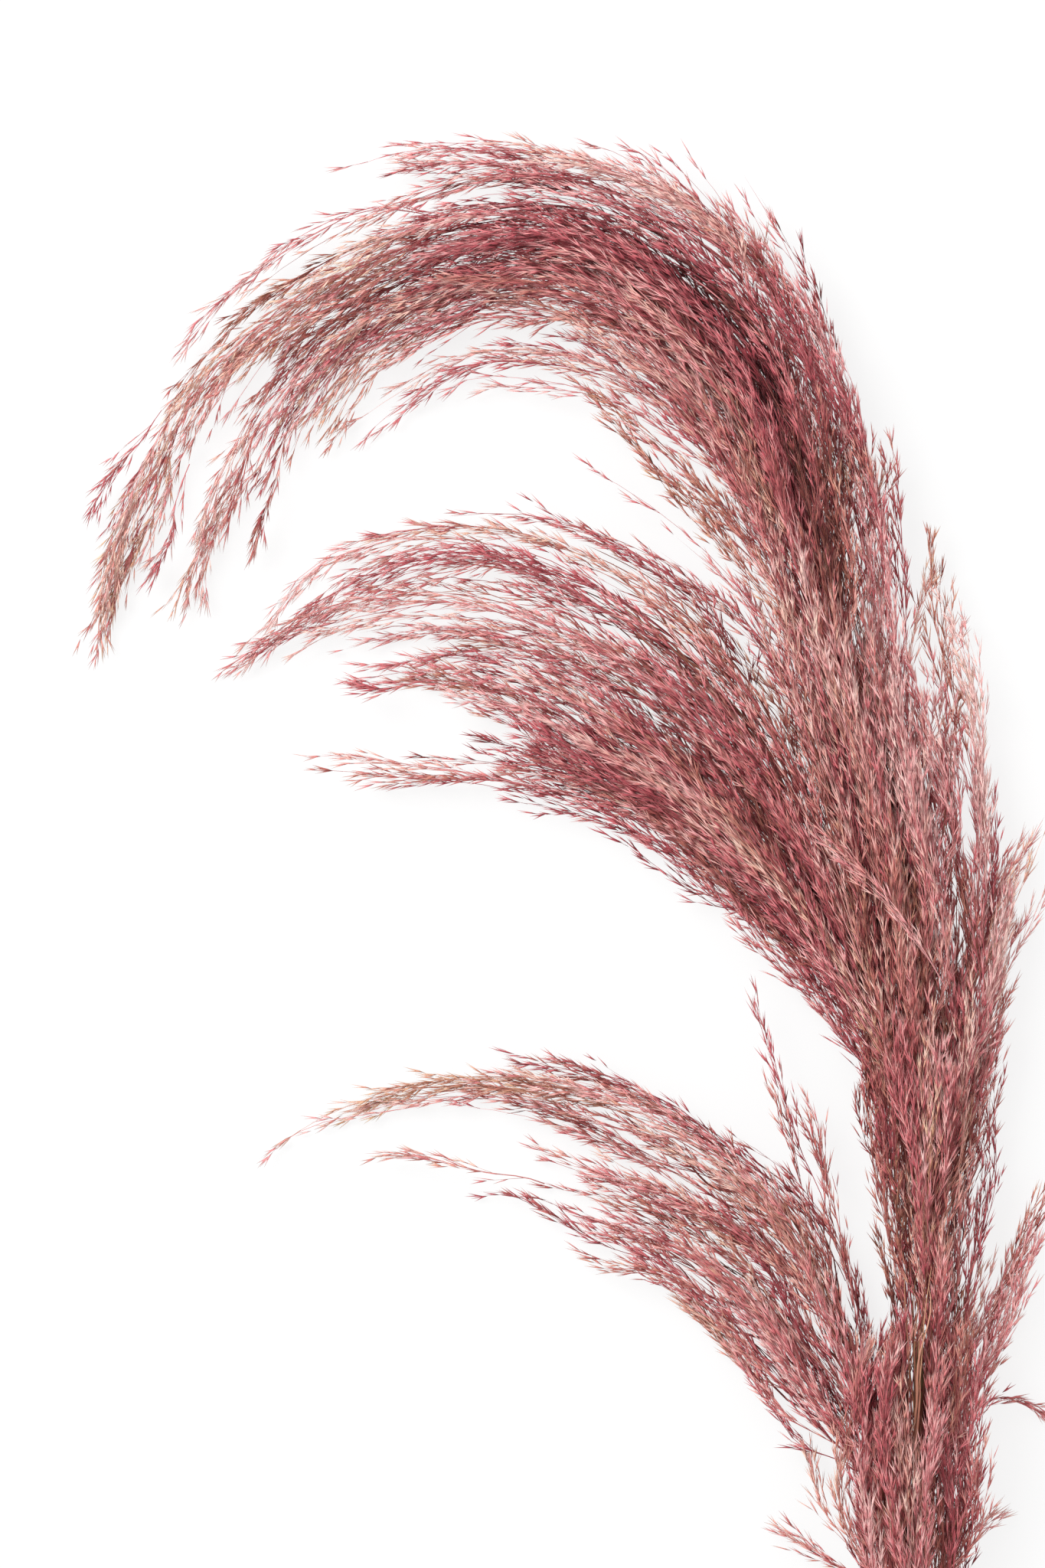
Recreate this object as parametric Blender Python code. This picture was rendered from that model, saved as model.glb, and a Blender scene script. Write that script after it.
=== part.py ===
"""A dried pampas grass plume, cut and laid flat: its stalk, and the sprays that stream from it.

Metres, +Z up. The origin is on the surface that the plume lies on, under the cut end of the stalk.
+Y runs along the stalk towards the plume, which arches over to -X.
"""

import math
import random
from collections import namedtuple

import bmesh
import bpy
import numpy as np
from mathutils import Matrix, Vector
from mathutils.bvhtree import BVHTree

# Stalk: the bare culm, from its cut end to where the first strands hide it.
STALK_PATH = (  # x, y, height of the middle, radius
    (0.000, -0.012, 0.0031, 0.0035),
    (0.000, 0.012, 0.0031, 0.0035),
    (0.000, 0.050, 0.0048, 0.0034),
    (0.001, 0.110, 0.0120, 0.0033),
    (0.002, 0.170, 0.0210, 0.0032),
    (0.003, 0.230, 0.0275, 0.0031),
    (0.002, 0.284, 0.0300, 0.0030),
)
STALK_SIDES = 10
STALK_RINGS = 16

# Streams: x, y and height of a stream's middle line, and its half width there.
BODY = (
    (0.004, 0.285, 0.0300, 0.020),
    (0.005, 0.353, 0.0300, 0.028),
    (0.005, 0.437, 0.0300, 0.035),
    (-0.002, 0.521, 0.0310, 0.038),
    (-0.016, 0.605, 0.0320, 0.034),
    (-0.034, 0.668, 0.0320, 0.028),
)
ARCH_TO_FAR_TAIL = (
    (0.000, 0.400, 0.0300, 0.012),
    (-0.003, 0.458, 0.0300, 0.026),
    (-0.020, 0.563, 0.0310, 0.032),
    (-0.042, 0.655, 0.0320, 0.035),
    (-0.059, 0.742, 0.0330, 0.039),
    (-0.086, 0.818, 0.0340, 0.046),
    (-0.140, 0.873, 0.0350, 0.047),
    (-0.206, 0.897, 0.0340, 0.043),
    (-0.273, 0.887, 0.0290, 0.033),
    (-0.333, 0.862, 0.0240, 0.028),
    (-0.380, 0.826, 0.0200, 0.025),
    (-0.409, 0.781, 0.0160, 0.020),
    (-0.430, 0.733, 0.0120, 0.014),
    (-0.444, 0.695, 0.0090, 0.009),
    (-0.450, 0.664, 0.0070, 0.004),
)
ARCH_TO_NEAR_TAIL = (
    (-0.034, 0.640, 0.0290, 0.017),
    (-0.064, 0.722, 0.0280, 0.027),
    (-0.094, 0.798, 0.0290, 0.037),
    (-0.143, 0.850, 0.0290, 0.037),
    (-0.199, 0.877, 0.0280, 0.035),
    (-0.256, 0.869, 0.0250, 0.030),
    (-0.310, 0.843, 0.0220, 0.026),
    (-0.348, 0.805, 0.0180, 0.022),
    (-0.373, 0.765, 0.0140, 0.018),
    (-0.389, 0.729, 0.0110, 0.012),
    (-0.398, 0.686, 0.0080, 0.004),
)
INNERMOST_TAIL = (
    (-0.200, 0.868, 0.0250, 0.008),
    (-0.256, 0.855, 0.0220, 0.012),
    (-0.304, 0.824, 0.0170, 0.013),
    (-0.332, 0.786, 0.0120, 0.010),
    (-0.347, 0.744, 0.0070, 0.003),
)
INNER_WISP = (
    (-0.022, 0.626, 0.0310, 0.009),
    (-0.060, 0.700, 0.0310, 0.013),
    (-0.105, 0.764, 0.0290, 0.015),
    (-0.147, 0.802, 0.0240, 0.014),
    (-0.189, 0.822, 0.0200, 0.012),
    (-0.238, 0.824, 0.0160, 0.009),
    (-0.274, 0.805, 0.0120, 0.005),
    (-0.310, 0.774, 0.0080, 0.002),
)
SHORT_INNER_WISP = (
    (-0.020, 0.613, 0.0330, 0.008),
    (-0.070, 0.689, 0.0330, 0.013),
    (-0.118, 0.748, 0.0300, 0.014),
    (-0.162, 0.790, 0.0240, 0.011),
    (-0.209, 0.817, 0.0180, 0.004),
)
STRAY_WISP = (
    (-0.024, 0.600, 0.0300, 0.005),
    (-0.064, 0.664, 0.0290, 0.008),
    (-0.105, 0.715, 0.0270, 0.008),
    (-0.156, 0.749, 0.0230, 0.006),
    (-0.213, 0.768, 0.0180, 0.002),
)
OUTER_WISP = (
    (-0.010, 0.605, 0.0320, 0.012),
    (-0.022, 0.731, 0.0330, 0.019),
    (-0.057, 0.823, 0.0350, 0.022),
    (-0.107, 0.886, 0.0350, 0.020),
    (-0.164, 0.922, 0.0320, 0.017),
    (-0.223, 0.936, 0.0260, 0.012),
    (-0.273, 0.936, 0.0200, 0.007),
    (-0.311, 0.930, 0.0140, 0.002),
)
SIDE_TIP = (
    (-0.024, 0.690, 0.0320, 0.008),
    (-0.042, 0.800, 0.0330, 0.012),
    (-0.067, 0.875, 0.0300, 0.010),
    (-0.098, 0.931, 0.0240, 0.003),
)
TOP_TIP = (
    (-0.040, 0.764, 0.0330, 0.009),
    (-0.068, 0.844, 0.0340, 0.013),
    (-0.110, 0.903, 0.0310, 0.012),
    (-0.158, 0.952, 0.0220, 0.003),
)
MIDDLE_ARCH = (
    (0.001, 0.380, 0.0300, 0.012),
    (-0.022, 0.466, 0.0290, 0.024),
    (-0.050, 0.550, 0.0290, 0.034),
    (-0.094, 0.627, 0.0280, 0.040),
    (-0.147, 0.683, 0.0260, 0.037),
    (-0.206, 0.715, 0.0220, 0.031),
    (-0.265, 0.722, 0.0180, 0.025),
    (-0.315, 0.706, 0.0140, 0.026),
    (-0.353, 0.676, 0.0110, 0.020),
    (-0.386, 0.642, 0.0070, 0.006),
)
MIDDLE_BETWEEN = (
    (-0.040, 0.500, 0.0280, 0.016),
    (-0.090, 0.585, 0.0260, 0.026),
    (-0.145, 0.640, 0.0230, 0.026),
    (-0.205, 0.672, 0.0190, 0.020),
    (-0.265, 0.680, 0.0140, 0.012),
    (-0.319, 0.665, 0.0090, 0.004),
)
MIDDLE_LOWER_ARCH = (
    (-0.026, 0.470, 0.0270, 0.016),
    (-0.066, 0.524, 0.0250, 0.028),
    (-0.113, 0.574, 0.0220, 0.032),
    (-0.162, 0.611, 0.0190, 0.034),
    (-0.214, 0.641, 0.0150, 0.028),
    (-0.265, 0.650, 0.0110, 0.018),
    (-0.311, 0.642, 0.0070, 0.004),
)
MIDDLE_LAST_WISP = (
    (-0.032, 0.470, 0.0240, 0.009),
    (-0.078, 0.518, 0.0200, 0.016),
    (-0.122, 0.558, 0.0180, 0.018),
    (-0.172, 0.584, 0.0150, 0.016),
    (-0.231, 0.597, 0.0120, 0.011),
    (-0.290, 0.600, 0.0090, 0.006),
    (-0.338, 0.611, 0.0060, 0.002),
)
LOWER_ARCH = (
    (-0.006, 0.165, 0.0220, 0.012),
    (-0.023, 0.225, 0.0250, 0.021),
    (-0.043, 0.282, 0.0250, 0.025),
    (-0.066, 0.339, 0.0230, 0.030),
    (-0.112, 0.381, 0.0200, 0.027),
    (-0.164, 0.408, 0.0170, 0.021),
    (-0.214, 0.421, 0.0140, 0.016),
    (-0.265, 0.422, 0.0110, 0.012),
    (-0.319, 0.407, 0.0080, 0.008),
    (-0.369, 0.378, 0.0050, 0.003),
)
LOWER_LAST_WISP = (
    (-0.011, 0.172, 0.0218, 0.014),
    (-0.029, 0.212, 0.0208, 0.024),
    (-0.055, 0.250, 0.0190, 0.026),
    (-0.088, 0.294, 0.0165, 0.026),
    (-0.130, 0.329, 0.0150, 0.021),
    (-0.181, 0.356, 0.0120, 0.015),
    (-0.239, 0.378, 0.0090, 0.009),
    (-0.302, 0.386, 0.0050, 0.003),
)
UPRIGHT_WISP = (
    (-0.026, 0.276, 0.0260, 0.008),
    (-0.044, 0.340, 0.0260, 0.013),
    (-0.058, 0.395, 0.0240, 0.016),
    (-0.070, 0.439, 0.0200, 0.014),
    (-0.082, 0.480, 0.0150, 0.006),
)
RIGHT_SPRAY = (
    (0.003, 0.176, 0.0210, 0.006),
    (0.013, 0.222, 0.0230, 0.009),
    (0.027, 0.254, 0.0220, 0.014),
    (0.044, 0.289, 0.0190, 0.018),
    (0.059, 0.325, 0.0160, 0.017),
    (0.073, 0.360, 0.0120, 0.011),
    (0.092, 0.397, 0.0070, 0.004),
)
RIGHT_LOW_WISP = (
    (0.014, 0.225, 0.0210, 0.004),
    (0.034, 0.243, 0.0180, 0.006),
    (0.054, 0.250, 0.0140, 0.006),
    (0.078, 0.245, 0.0080, 0.002),
)
SIDE_SPRAY = (
    (0.001, 0.330, 0.0300, 0.006),
    (0.020, 0.392, 0.0290, 0.012),
    (0.030, 0.446, 0.0270, 0.017),
    (0.042, 0.498, 0.0240, 0.017),
    (0.055, 0.540, 0.0190, 0.011),
    (0.071, 0.583, 0.0130, 0.003),
)
SIDE_UPPER_WISP = (
    (0.028, 0.446, 0.0280, 0.008),
    (0.035, 0.515, 0.0270, 0.013),
    (0.034, 0.580, 0.0250, 0.015),
    (0.026, 0.640, 0.0220, 0.013),
    (0.015, 0.690, 0.0180, 0.009),
    (0.013, 0.737, 0.0130, 0.003),
)
FOOT = (
    (0.002, 0.092, 0.0180, 0.014),
    (0.001, 0.120, 0.0260, 0.026),
    (0.000, 0.150, 0.0315, 0.034),
    (-0.004, 0.200, 0.0370, 0.040),
    (-0.004, 0.250, 0.0410, 0.038),
    (0.000, 0.292, 0.0420, 0.032),
)

# How strands fill a stream: how many, their shortest and longest, where the last one roots, and their tufts.
Fill = namedtuple("Fill", "path strands shortest longest last_root tufts")
SPRAYS = {
    "crown_spray": (
        Fill(BODY, 14, 0.075, 0.140, 0.50, 3),
        Fill(ARCH_TO_FAR_TAIL, 16, 0.120, 0.230, 0.82, 3),
        Fill(ARCH_TO_NEAR_TAIL, 9, 0.110, 0.210, 0.70, 3),
        Fill(INNERMOST_TAIL, 3, 0.090, 0.140, 0.40, 3),
        Fill(INNER_WISP, 4, 0.100, 0.170, 0.50, 3),
        Fill(SHORT_INNER_WISP, 3, 0.090, 0.150, 0.40, 2),
        Fill(STRAY_WISP, 2, 0.100, 0.160, 0.40, 2),
        Fill(OUTER_WISP, 4, 0.110, 0.180, 0.60, 3),
        Fill(SIDE_TIP, 2, 0.100, 0.150, 0.40, 3),
        Fill(TOP_TIP, 2, 0.100, 0.150, 0.40, 3),
    ),
    "middle_spray": (
        Fill(MIDDLE_ARCH, 10, 0.120, 0.230, 0.70, 3),
        Fill(MIDDLE_BETWEEN, 3, 0.110, 0.190, 0.50, 3),
        Fill(MIDDLE_LOWER_ARCH, 6, 0.100, 0.190, 0.60, 3),
        Fill(MIDDLE_LAST_WISP, 5, 0.100, 0.180, 0.50, 3),
    ),
    "lower_spray": (
        Fill(LOWER_ARCH, 8, 0.110, 0.210, 0.66, 3),
        Fill(LOWER_LAST_WISP, 6, 0.100, 0.180, 0.55, 3),
        Fill(UPRIGHT_WISP, 3, 0.080, 0.130, 0.40, 3),
    ),
    "right_spray": (
        Fill(RIGHT_SPRAY, 6, 0.070, 0.130, 0.50, 3),
        Fill(RIGHT_LOW_WISP, 2, 0.040, 0.060, 0.30, 1),
    ),
    "side_spray": (
        Fill(SIDE_SPRAY, 5, 0.090, 0.150, 0.50, 3),
        Fill(SIDE_UPPER_WISP, 4, 0.090, 0.150, 0.50, 3),
    ),
    "foot_spray": (Fill(FOOT, 10, 0.060, 0.100, 0.70, 3),),
}

# Core: the bundle of branch bases in the middle of each stream, ribbed lengthwise.
CORE_SHARE = 0.34  # of the stream's half width
CORE_DEPTH = 0.75  # height over width
CORE_LEAST = 0.0013
CORE_ENDS = 0.90  # how far along the stream the core reaches
CORE_TAPER = 0.88  # share of its width that it has lost at the stream's end
CORE_STEP = 0.045
START_STEP = 0.004
LAST_START = 0.5
RIBS = 4
GROOVE = 0.76

# Strands and their tufts of spikelets.
POINTS_PER_SPAN = 12  # on the smooth line between two rows of a stream
STREAM_DEPTH = 0.72  # height over width of the room that strands fill
STRAND_RADIUS = 0.0017
STRAND_TIP = 0.0008
STRAND_SEGMENTS = 3
OPENS_OVER = 0.4  # share of a strand's length in which it reaches its own place
FLARE = 0.35  # how much wider than its stream a strand's tip may stray
SWAY = 0.0035
TIP_SPREAD = 0.1  # share of a stream over which its last tips end
BESIDE = 0.01  # share of a stream over which its direction is read
LOWEST_MIDDLE = 0.0013
FIRST_TUFT = 0.30  # share of its strand
LAST_TUFT = 0.98
TUFT_LENGTH = (0.022, 0.036)
TUFT_RADIUS = 0.0019
TUFT_LEAN = (13, 27)  # degrees off the strand
TUFT_SUNK = 0.0008  # how far its root is sunk in
TUFT_WIDEST = 0.36  # share of its length

GAP = 0.0004  # between one spray and what carries it
WELD = 1e-6
TRIES = 5
NUMBERS = 100  # strand numbers kept for each stream of a spray
GOLDEN_TURN = 2.4
EVEN = 1.2207440846
SPREAD = (1 / EVEN, 1 / EVEN**2, 1 / EVEN**3)  # steps that fill three values evenly

DUSTY_ROSE = (0.42, 0.15, 0.14)
DRY_STRAW = (0.36, 0.26, 0.15)
ROSE_ROUGHNESS = 0.85
STRAW_ROUGHNESS = 0.7

Stream = namedtuple("Stream", "length places")


def clear_scene():
    for thing in list(bpy.data.objects):
        bpy.data.objects.remove(thing)
    for name in ("plume", "working pieces"):
        bpy.context.scene.collection.children.link(bpy.data.collections.new(name))


def plain_material(name, colour, roughness):
    material = bpy.data.materials.new(name)
    material.use_nodes = True
    shader = material.node_tree.nodes["Principled BSDF"]
    shader.inputs["Base Color"].default_value = (*colour, 1)
    shader.inputs["Roughness"].default_value = roughness
    shader.inputs["Metallic"].default_value = 0
    return material


def smooth_line(rows):
    """Catmull-Rom points through the rows, with every column carried along."""
    rows = np.array(rows)
    ends = np.vstack([2 * rows[0] - rows[1], rows, 2 * rows[-1] - rows[-2]])
    found = []
    for a, b, c, d in zip(ends, ends[1:], ends[2:], ends[3:]):
        for t in np.arange(POINTS_PER_SPAN) / POINTS_PER_SPAN:
            curve = 2 * b + (c - a) * t + (2 * a - 5 * b + 4 * c - d) * t**2
            found.append((curve + (3 * b - a - 3 * c + d) * t**3) / 2)
    return np.array(found + [rows[-1]])


def stream_of(rows):
    """The stream's length, and a function that gives x, y, height and half width at a share of it."""
    line = smooth_line(rows)
    along = np.concatenate([[0], np.cumsum(np.linalg.norm(np.diff(line[:, :3], axis=0), axis=1))])
    share = along / along[-1]

    def places(t):
        return np.array([np.interp(t, share, column) for column in line.T])

    return Stream(along[-1], places)


def strand_points(stream, start, fill, number, attempt):
    """The points of one strand, which leaves the middle of its stream and runs beside it."""
    draw = random.Random(number)
    root, turn, reach = ((0.5 + number * step) % 1 for step in SPREAD)
    turn += attempt / TRIES
    first = start + root * (fill.last_root - start)
    length = draw.uniform(fill.shortest, fill.longest)
    last = min(first + length / stream.length, 1 - TIP_SPREAD * draw.random())
    across = math.cos(2 * math.pi * turn) * math.sqrt(reach)
    above = math.sin(2 * math.pi * turn) * math.sqrt(reach) * STREAM_DEPTH
    sway, phase = draw.uniform(0, SWAY), draw.uniform(0, 2 * math.pi)
    found = []
    for t in np.linspace(0, 1, STRAND_SEGMENTS + 1):
        share = first + (last - first) * t
        x, y, z, wide = stream.places(share)
        ahead, behind = stream.places(share + BESIDE), stream.places(share - BESIDE)
        side = Vector((ahead[1] - behind[1], behind[0] - ahead[0], 0)).normalized()
        opened = min(t / OPENS_OVER, 1)
        opened = opened * opened * (3 - 2 * opened) * (1 + FLARE * t * t)
        aside = wide * across * opened + sway * t * math.sin(phase + 5 * t)
        place = Vector((x, y, z)) + side * aside
        place.z += wide * above * opened + sway * t * math.cos(phase + 4 * t)
        place.z = max(place.z, LOWEST_MIDDLE)
        found.append(place)
    return found


def profile(name, points):
    """A closed flat outline that curves are swept with."""
    data = bpy.data.curves.new(name, "CURVE")
    line = data.splines.new("POLY")
    line.points.add(len(points) - 1)
    line.use_cyclic_u = True
    for point, (x, y) in zip(line.points, points):
        point.co = (x, y, 0, 1)
    outline = bpy.data.objects.new(name, data)
    outline.hide_render = True
    outline.display_type = "WIRE"
    bpy.data.collections["working pieces"].objects.link(outline)
    return outline


def ring(sides, size=lambda k: 1, depth=1):
    """Points round a circle, each at its own distance, squashed to depth."""
    turns = [2 * math.pi * k / sides for k in range(sides)]
    return [(math.cos(a) * size(k), math.sin(a) * size(k) * depth) for k, a in enumerate(turns)]


def swept(name, points, radii, outline):
    """A curve through the points, swept with an outline that is scaled to each radius."""
    points = list(points)
    data = bpy.data.curves.new(name, "CURVE")
    data.dimensions = "3D"
    data.twist_mode = "Z_UP"
    data.bevel_mode = "OBJECT"
    data.bevel_object = outline
    data.use_fill_caps = True
    line = data.splines.new("POLY")
    line.points.add(len(points) - 1)
    for point, place, radius in zip(line.points, points, radii):
        point.co = (*place, 1)
        point.radius = radius
    tube = bpy.data.objects.new(name, data)
    bpy.data.collections["working pieces"].objects.link(tube)
    return tube


def as_mesh(tube):
    """The same tube as a closed mesh, with its outlines welded and nothing under the surface."""
    bpy.context.view_layer.update()
    graph = bpy.context.evaluated_depsgraph_get()
    mesh = bpy.data.meshes.new_from_object(tube.evaluated_get(graph))
    body = bmesh.new()
    body.from_mesh(mesh)
    bmesh.ops.remove_doubles(body, verts=body.verts, dist=WELD)
    bmesh.ops.triangulate(body, faces=body.faces)
    bmesh.ops.recalc_face_normals(body, faces=body.faces)
    lay_on_surface(body)
    body.to_mesh(mesh)
    body.free()
    solid = bpy.data.objects.new(tube.name, mesh)
    bpy.data.collections["working pieces"].objects.link(solid)
    bpy.data.objects.remove(tube)
    return solid


def lay_on_surface(body):
    """What would reach under the surface is pressed flat against it."""
    for corner in body.verts:
        corner.co.z = max(corner.co.z, 0)


def tree_of(solid, grown=0.0):
    """A search tree of a solid's faces, grown outwards."""
    body = bmesh.new()
    body.from_mesh(solid.data)
    body.normal_update()
    for corner in body.verts:
        corner.co += corner.normal * grown
    found = BVHTree.FromBMesh(body)
    body.free()
    return found


def is_clear(solid, trees):
    mine = tree_of(solid, GAP)
    return not any(mine.overlap(tree) for tree in trees)


def core_radius(stream, t):
    return max(stream.places(t)[3] * CORE_SHARE * (1 - CORE_TAPER * t), CORE_LEAST)


def make_core(name, stream, start, outline):
    """The ribbed bundle in the middle of a stream."""
    steps = max(4, round(stream.length * CORE_ENDS / CORE_STEP))
    shares = np.linspace(start, CORE_ENDS, steps + 1)
    points = [stream.places(t)[:3] for t in shares]
    return as_mesh(swept(name, points, [core_radius(stream, t) for t in shares], outline))


def core_clear_of(name, stream, trees, outline):
    """The core that starts as early in its stream as it can, clear of what carries it, and its start."""
    for start in np.arange(0, LAST_START, START_STEP):
        core = make_core(name, stream, start, outline)
        if is_clear(core, trees):
            break
        if start + START_STEP < LAST_START:
            bpy.data.objects.remove(core)
    return core, start


def spindle(name, root, along, length):
    """A three-sided tuft: thin at its root, widest near it, and drawn out to a point."""
    body = bmesh.new()
    bmesh.ops.create_uvsphere(body, u_segments=3, v_segments=2, radius=1)
    for corner in body.verts:
        height = (corner.co.z + 1) / 2
        at_tip, at_root = height > 0.9, height < 0.1
        corner.co.z = length if at_tip else -TUFT_SUNK if at_root else length * TUFT_WIDEST
        corner.co.x *= TUFT_RADIUS
        corner.co.y *= TUFT_RADIUS
    turn = Vector((0, 0, 1)).rotation_difference(along).to_matrix().to_4x4()
    bmesh.ops.transform(body, verts=body.verts, matrix=Matrix.Translation(root) @ turn)
    lay_on_surface(body)
    mesh = bpy.data.meshes.new(name)
    body.to_mesh(mesh)
    body.free()
    tuft = bpy.data.objects.new(name, mesh)
    bpy.data.collections["working pieces"].objects.link(tuft)
    return tuft


def tufts_on(points, fill, number, trees):
    """Tufts in turn round a strand, out to its tip, each drawn again until it is clear of other sprays."""
    draw = random.Random(-number)
    made = []
    for k, t in enumerate(np.linspace(FIRST_TUFT, LAST_TUFT, fill.tufts)):
        where = t * (len(points) - 1)
        i = min(int(where), len(points) - 2)
        root = points[i].lerp(points[i + 1], where - i)
        ahead = (points[i + 1] - points[i]).normalized()
        side = ahead.cross(Vector((0, 0, 1))).normalized()
        for attempt in range(TRIES):
            turn = GOLDEN_TURN * (k + number) + draw.uniform(-0.5, 0.5) + attempt
            lean = math.radians(draw.uniform(*TUFT_LEAN)) * (1 if t < LAST_TUFT else 0.3)
            outward = Matrix.Rotation(turn, 3, ahead) @ side
            along = ahead * math.cos(lean) + outward * math.sin(lean)
            length = draw.uniform(*TUFT_LENGTH)
            along.z = max(along.z, -0.5 * root.z / length)
            tuft = spindle("tuft", root, along.normalized(), length)
            if is_clear(tuft, trees):
                made.append(tuft)
                break
            bpy.data.objects.remove(tuft)
    return made


def strand_with_tufts(stream, start, fill, number, trees, outline):
    """One strand and its tufts. It is drawn again on another side while it would cross another spray."""
    for attempt in range(TRIES):
        points = strand_points(stream, start, fill, number, attempt)
        radii = np.linspace(STRAND_RADIUS, STRAND_TIP, len(points))
        strand = as_mesh(swept("strand", points, radii, outline))
        if is_clear(strand, trees):
            return [strand, *tufts_on(points, fill, number, trees)]
        bpy.data.objects.remove(strand)
    return []


def fuse(name, solids, material):
    """One closed body of all the solids, without loose scraps or sealed hollows."""
    first, *rest = solids
    gathered = bpy.data.collections.new(name + " pieces")
    bpy.context.scene.collection.children.link(gathered)
    for solid in rest:
        gathered.objects.link(solid)
    join = first.modifiers.new("fuse", "BOOLEAN")
    join.operation = "UNION"
    join.operand_type = "COLLECTION"
    join.collection = gathered
    join.solver = "MANIFOLD"
    bpy.context.view_layer.update()
    mesh = bpy.data.meshes.new_from_object(first.evaluated_get(bpy.context.evaluated_depsgraph_get()))
    for solid in solids:
        bpy.data.objects.remove(solid)
    bpy.data.collections.remove(gathered)
    keep_largest(mesh)
    mesh.materials.clear()
    mesh.materials.append(material)
    fused = bpy.data.objects.new(name, mesh)
    bpy.data.collections["plume"].objects.link(fused)
    return fused


def keep_largest(mesh):
    """Drops every loose scrap, and every sealed hollow, of a fused mesh."""
    body = bmesh.new()
    body.from_mesh(mesh)
    bmesh.ops.dissolve_degenerate(body, edges=body.edges, dist=WELD)
    unseen = set(body.verts)
    groups = []
    while unseen:
        group, edge = set(), [unseen.pop()]
        while edge:
            corner = edge.pop()
            group.add(corner)
            near = {e.other_vert(corner) for e in corner.link_edges} & unseen
            unseen -= near
            edge.extend(near)
        groups.append(group)
    groups.sort(key=len)
    for group in groups[:-1]:
        bmesh.ops.delete(body, geom=list(group), context="VERTS")
    bmesh.ops.triangulate(body, faces=body.faces)
    body.to_mesh(mesh)
    body.free()


def make_stalk(material):
    """The culm, cut square at the end that lies on the surface, and flat underneath there."""
    *points, radii = zip(*(stream_of(STALK_PATH).places(t) for t in np.linspace(0, 1, STALK_RINGS)))
    stalk = as_mesh(swept("culm", zip(*points), radii, profile("round", ring(STALK_SIDES))))
    bpy.data.collections["working pieces"].objects.unlink(stalk)
    bpy.data.collections["plume"].objects.link(stalk)
    stalk.name = "stalk"
    stalk.data.materials.append(material)
    return stalk


def main():
    clear_scene()
    rose = plain_material("dusty rose", DUSTY_ROSE, ROSE_ROUGHNESS)
    straw = plain_material("dry straw", DRY_STRAW, STRAW_ROUGHNESS)
    ribbed = profile("ribbed", ring(2 * RIBS, lambda k: 1 if k % 2 else GROOVE, CORE_DEPTH))
    triangle = profile("triangle", ring(3))

    finished = [tree_of(make_stalk(straw))]
    streams = {name: [stream_of(fill.path) for fill in fills] for name, fills in SPRAYS.items()}
    starts, cores, core_trees = {}, {}, {}
    for name in SPRAYS:
        carriers = finished + [tree for trees in core_trees.values() for tree in trees]
        found = [core_clear_of(name, stream, carriers, ribbed) for stream in streams[name]]
        cores[name], starts[name] = zip(*found)
        core_trees[name] = [tree_of(core) for core in cores[name]]

    for name, fills in SPRAYS.items():
        core_trees.pop(name)
        trees = finished + [tree for trees in core_trees.values() for tree in trees]
        pieces = []
        for k, each in enumerate(zip(streams[name], starts[name], fills)):
            for number in range(NUMBERS * k, NUMBERS * k + fills[k].strands):
                pieces += strand_with_tufts(*each, number, trees, triangle)
        body = fuse(name, [*cores[name], *pieces], rose)
        finished.append(tree_of(body))
        print(name, len(body.data.polygons), "triangles")


main()
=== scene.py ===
# %% [markdown]
# A dried pampas grass plume, dyed dusty rose. The real thing is a stiff cane that ends in a plume of
# long drooping branches. Every branch carries fine branchlets, and every branchlet carries dozens of
# slim papery spikelets, so what looks like fur is tens of thousands of small darts that all stream the
# same way. The solid model gives the cane and the way that each spray streams. This script keeps
# those streams and grows the fine branchlets and spikelets along them.

import math
from collections import namedtuple

import bmesh
import bpy
import numpy as np
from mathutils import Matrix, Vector


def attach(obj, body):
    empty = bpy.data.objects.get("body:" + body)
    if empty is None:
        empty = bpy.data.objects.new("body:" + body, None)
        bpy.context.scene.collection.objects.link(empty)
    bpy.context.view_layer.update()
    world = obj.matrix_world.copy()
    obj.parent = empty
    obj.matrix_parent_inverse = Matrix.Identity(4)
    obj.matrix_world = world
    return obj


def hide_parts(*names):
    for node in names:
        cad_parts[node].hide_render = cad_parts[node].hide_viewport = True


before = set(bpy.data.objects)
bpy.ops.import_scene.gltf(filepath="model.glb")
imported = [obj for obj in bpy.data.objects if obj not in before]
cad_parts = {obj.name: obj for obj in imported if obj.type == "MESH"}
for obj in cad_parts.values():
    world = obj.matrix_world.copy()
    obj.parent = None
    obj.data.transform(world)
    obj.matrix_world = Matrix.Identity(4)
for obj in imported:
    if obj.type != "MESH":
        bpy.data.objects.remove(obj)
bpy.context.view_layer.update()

# %% [markdown]
# The photograph shows the plume upright against white. A cut plume can't stand, so it lies on its
# back, and the camera looks straight down at it. A long lens from far away keeps the proportions of
# the photograph. One pixel of the photograph is 0.42 mm on the plume, and the photograph's lower edge
# cuts the plume about 17 cm above the end of the cane.

# %% Camera
PIXEL = 0.00042
PHOTO_WIDE, PHOTO_HIGH = 1365, 2048
STALK_PIXEL = 1195  # the column of the photograph that the cane stands in
FOOT_Y = 0.160  # where the photograph's lower edge cuts the plume
CAMERA_HEIGHT = 4.0
SENSOR = 36  # mm
PLUME_MIDDLE = 0.035  # height of the plume's middle above the floor


def on_plume(column, row):
    """The place on the plume of one pixel of the photograph."""
    return (column - STALK_PIXEL) * PIXEL, FOOT_Y + (PHOTO_HIGH - row) * PIXEL


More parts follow.
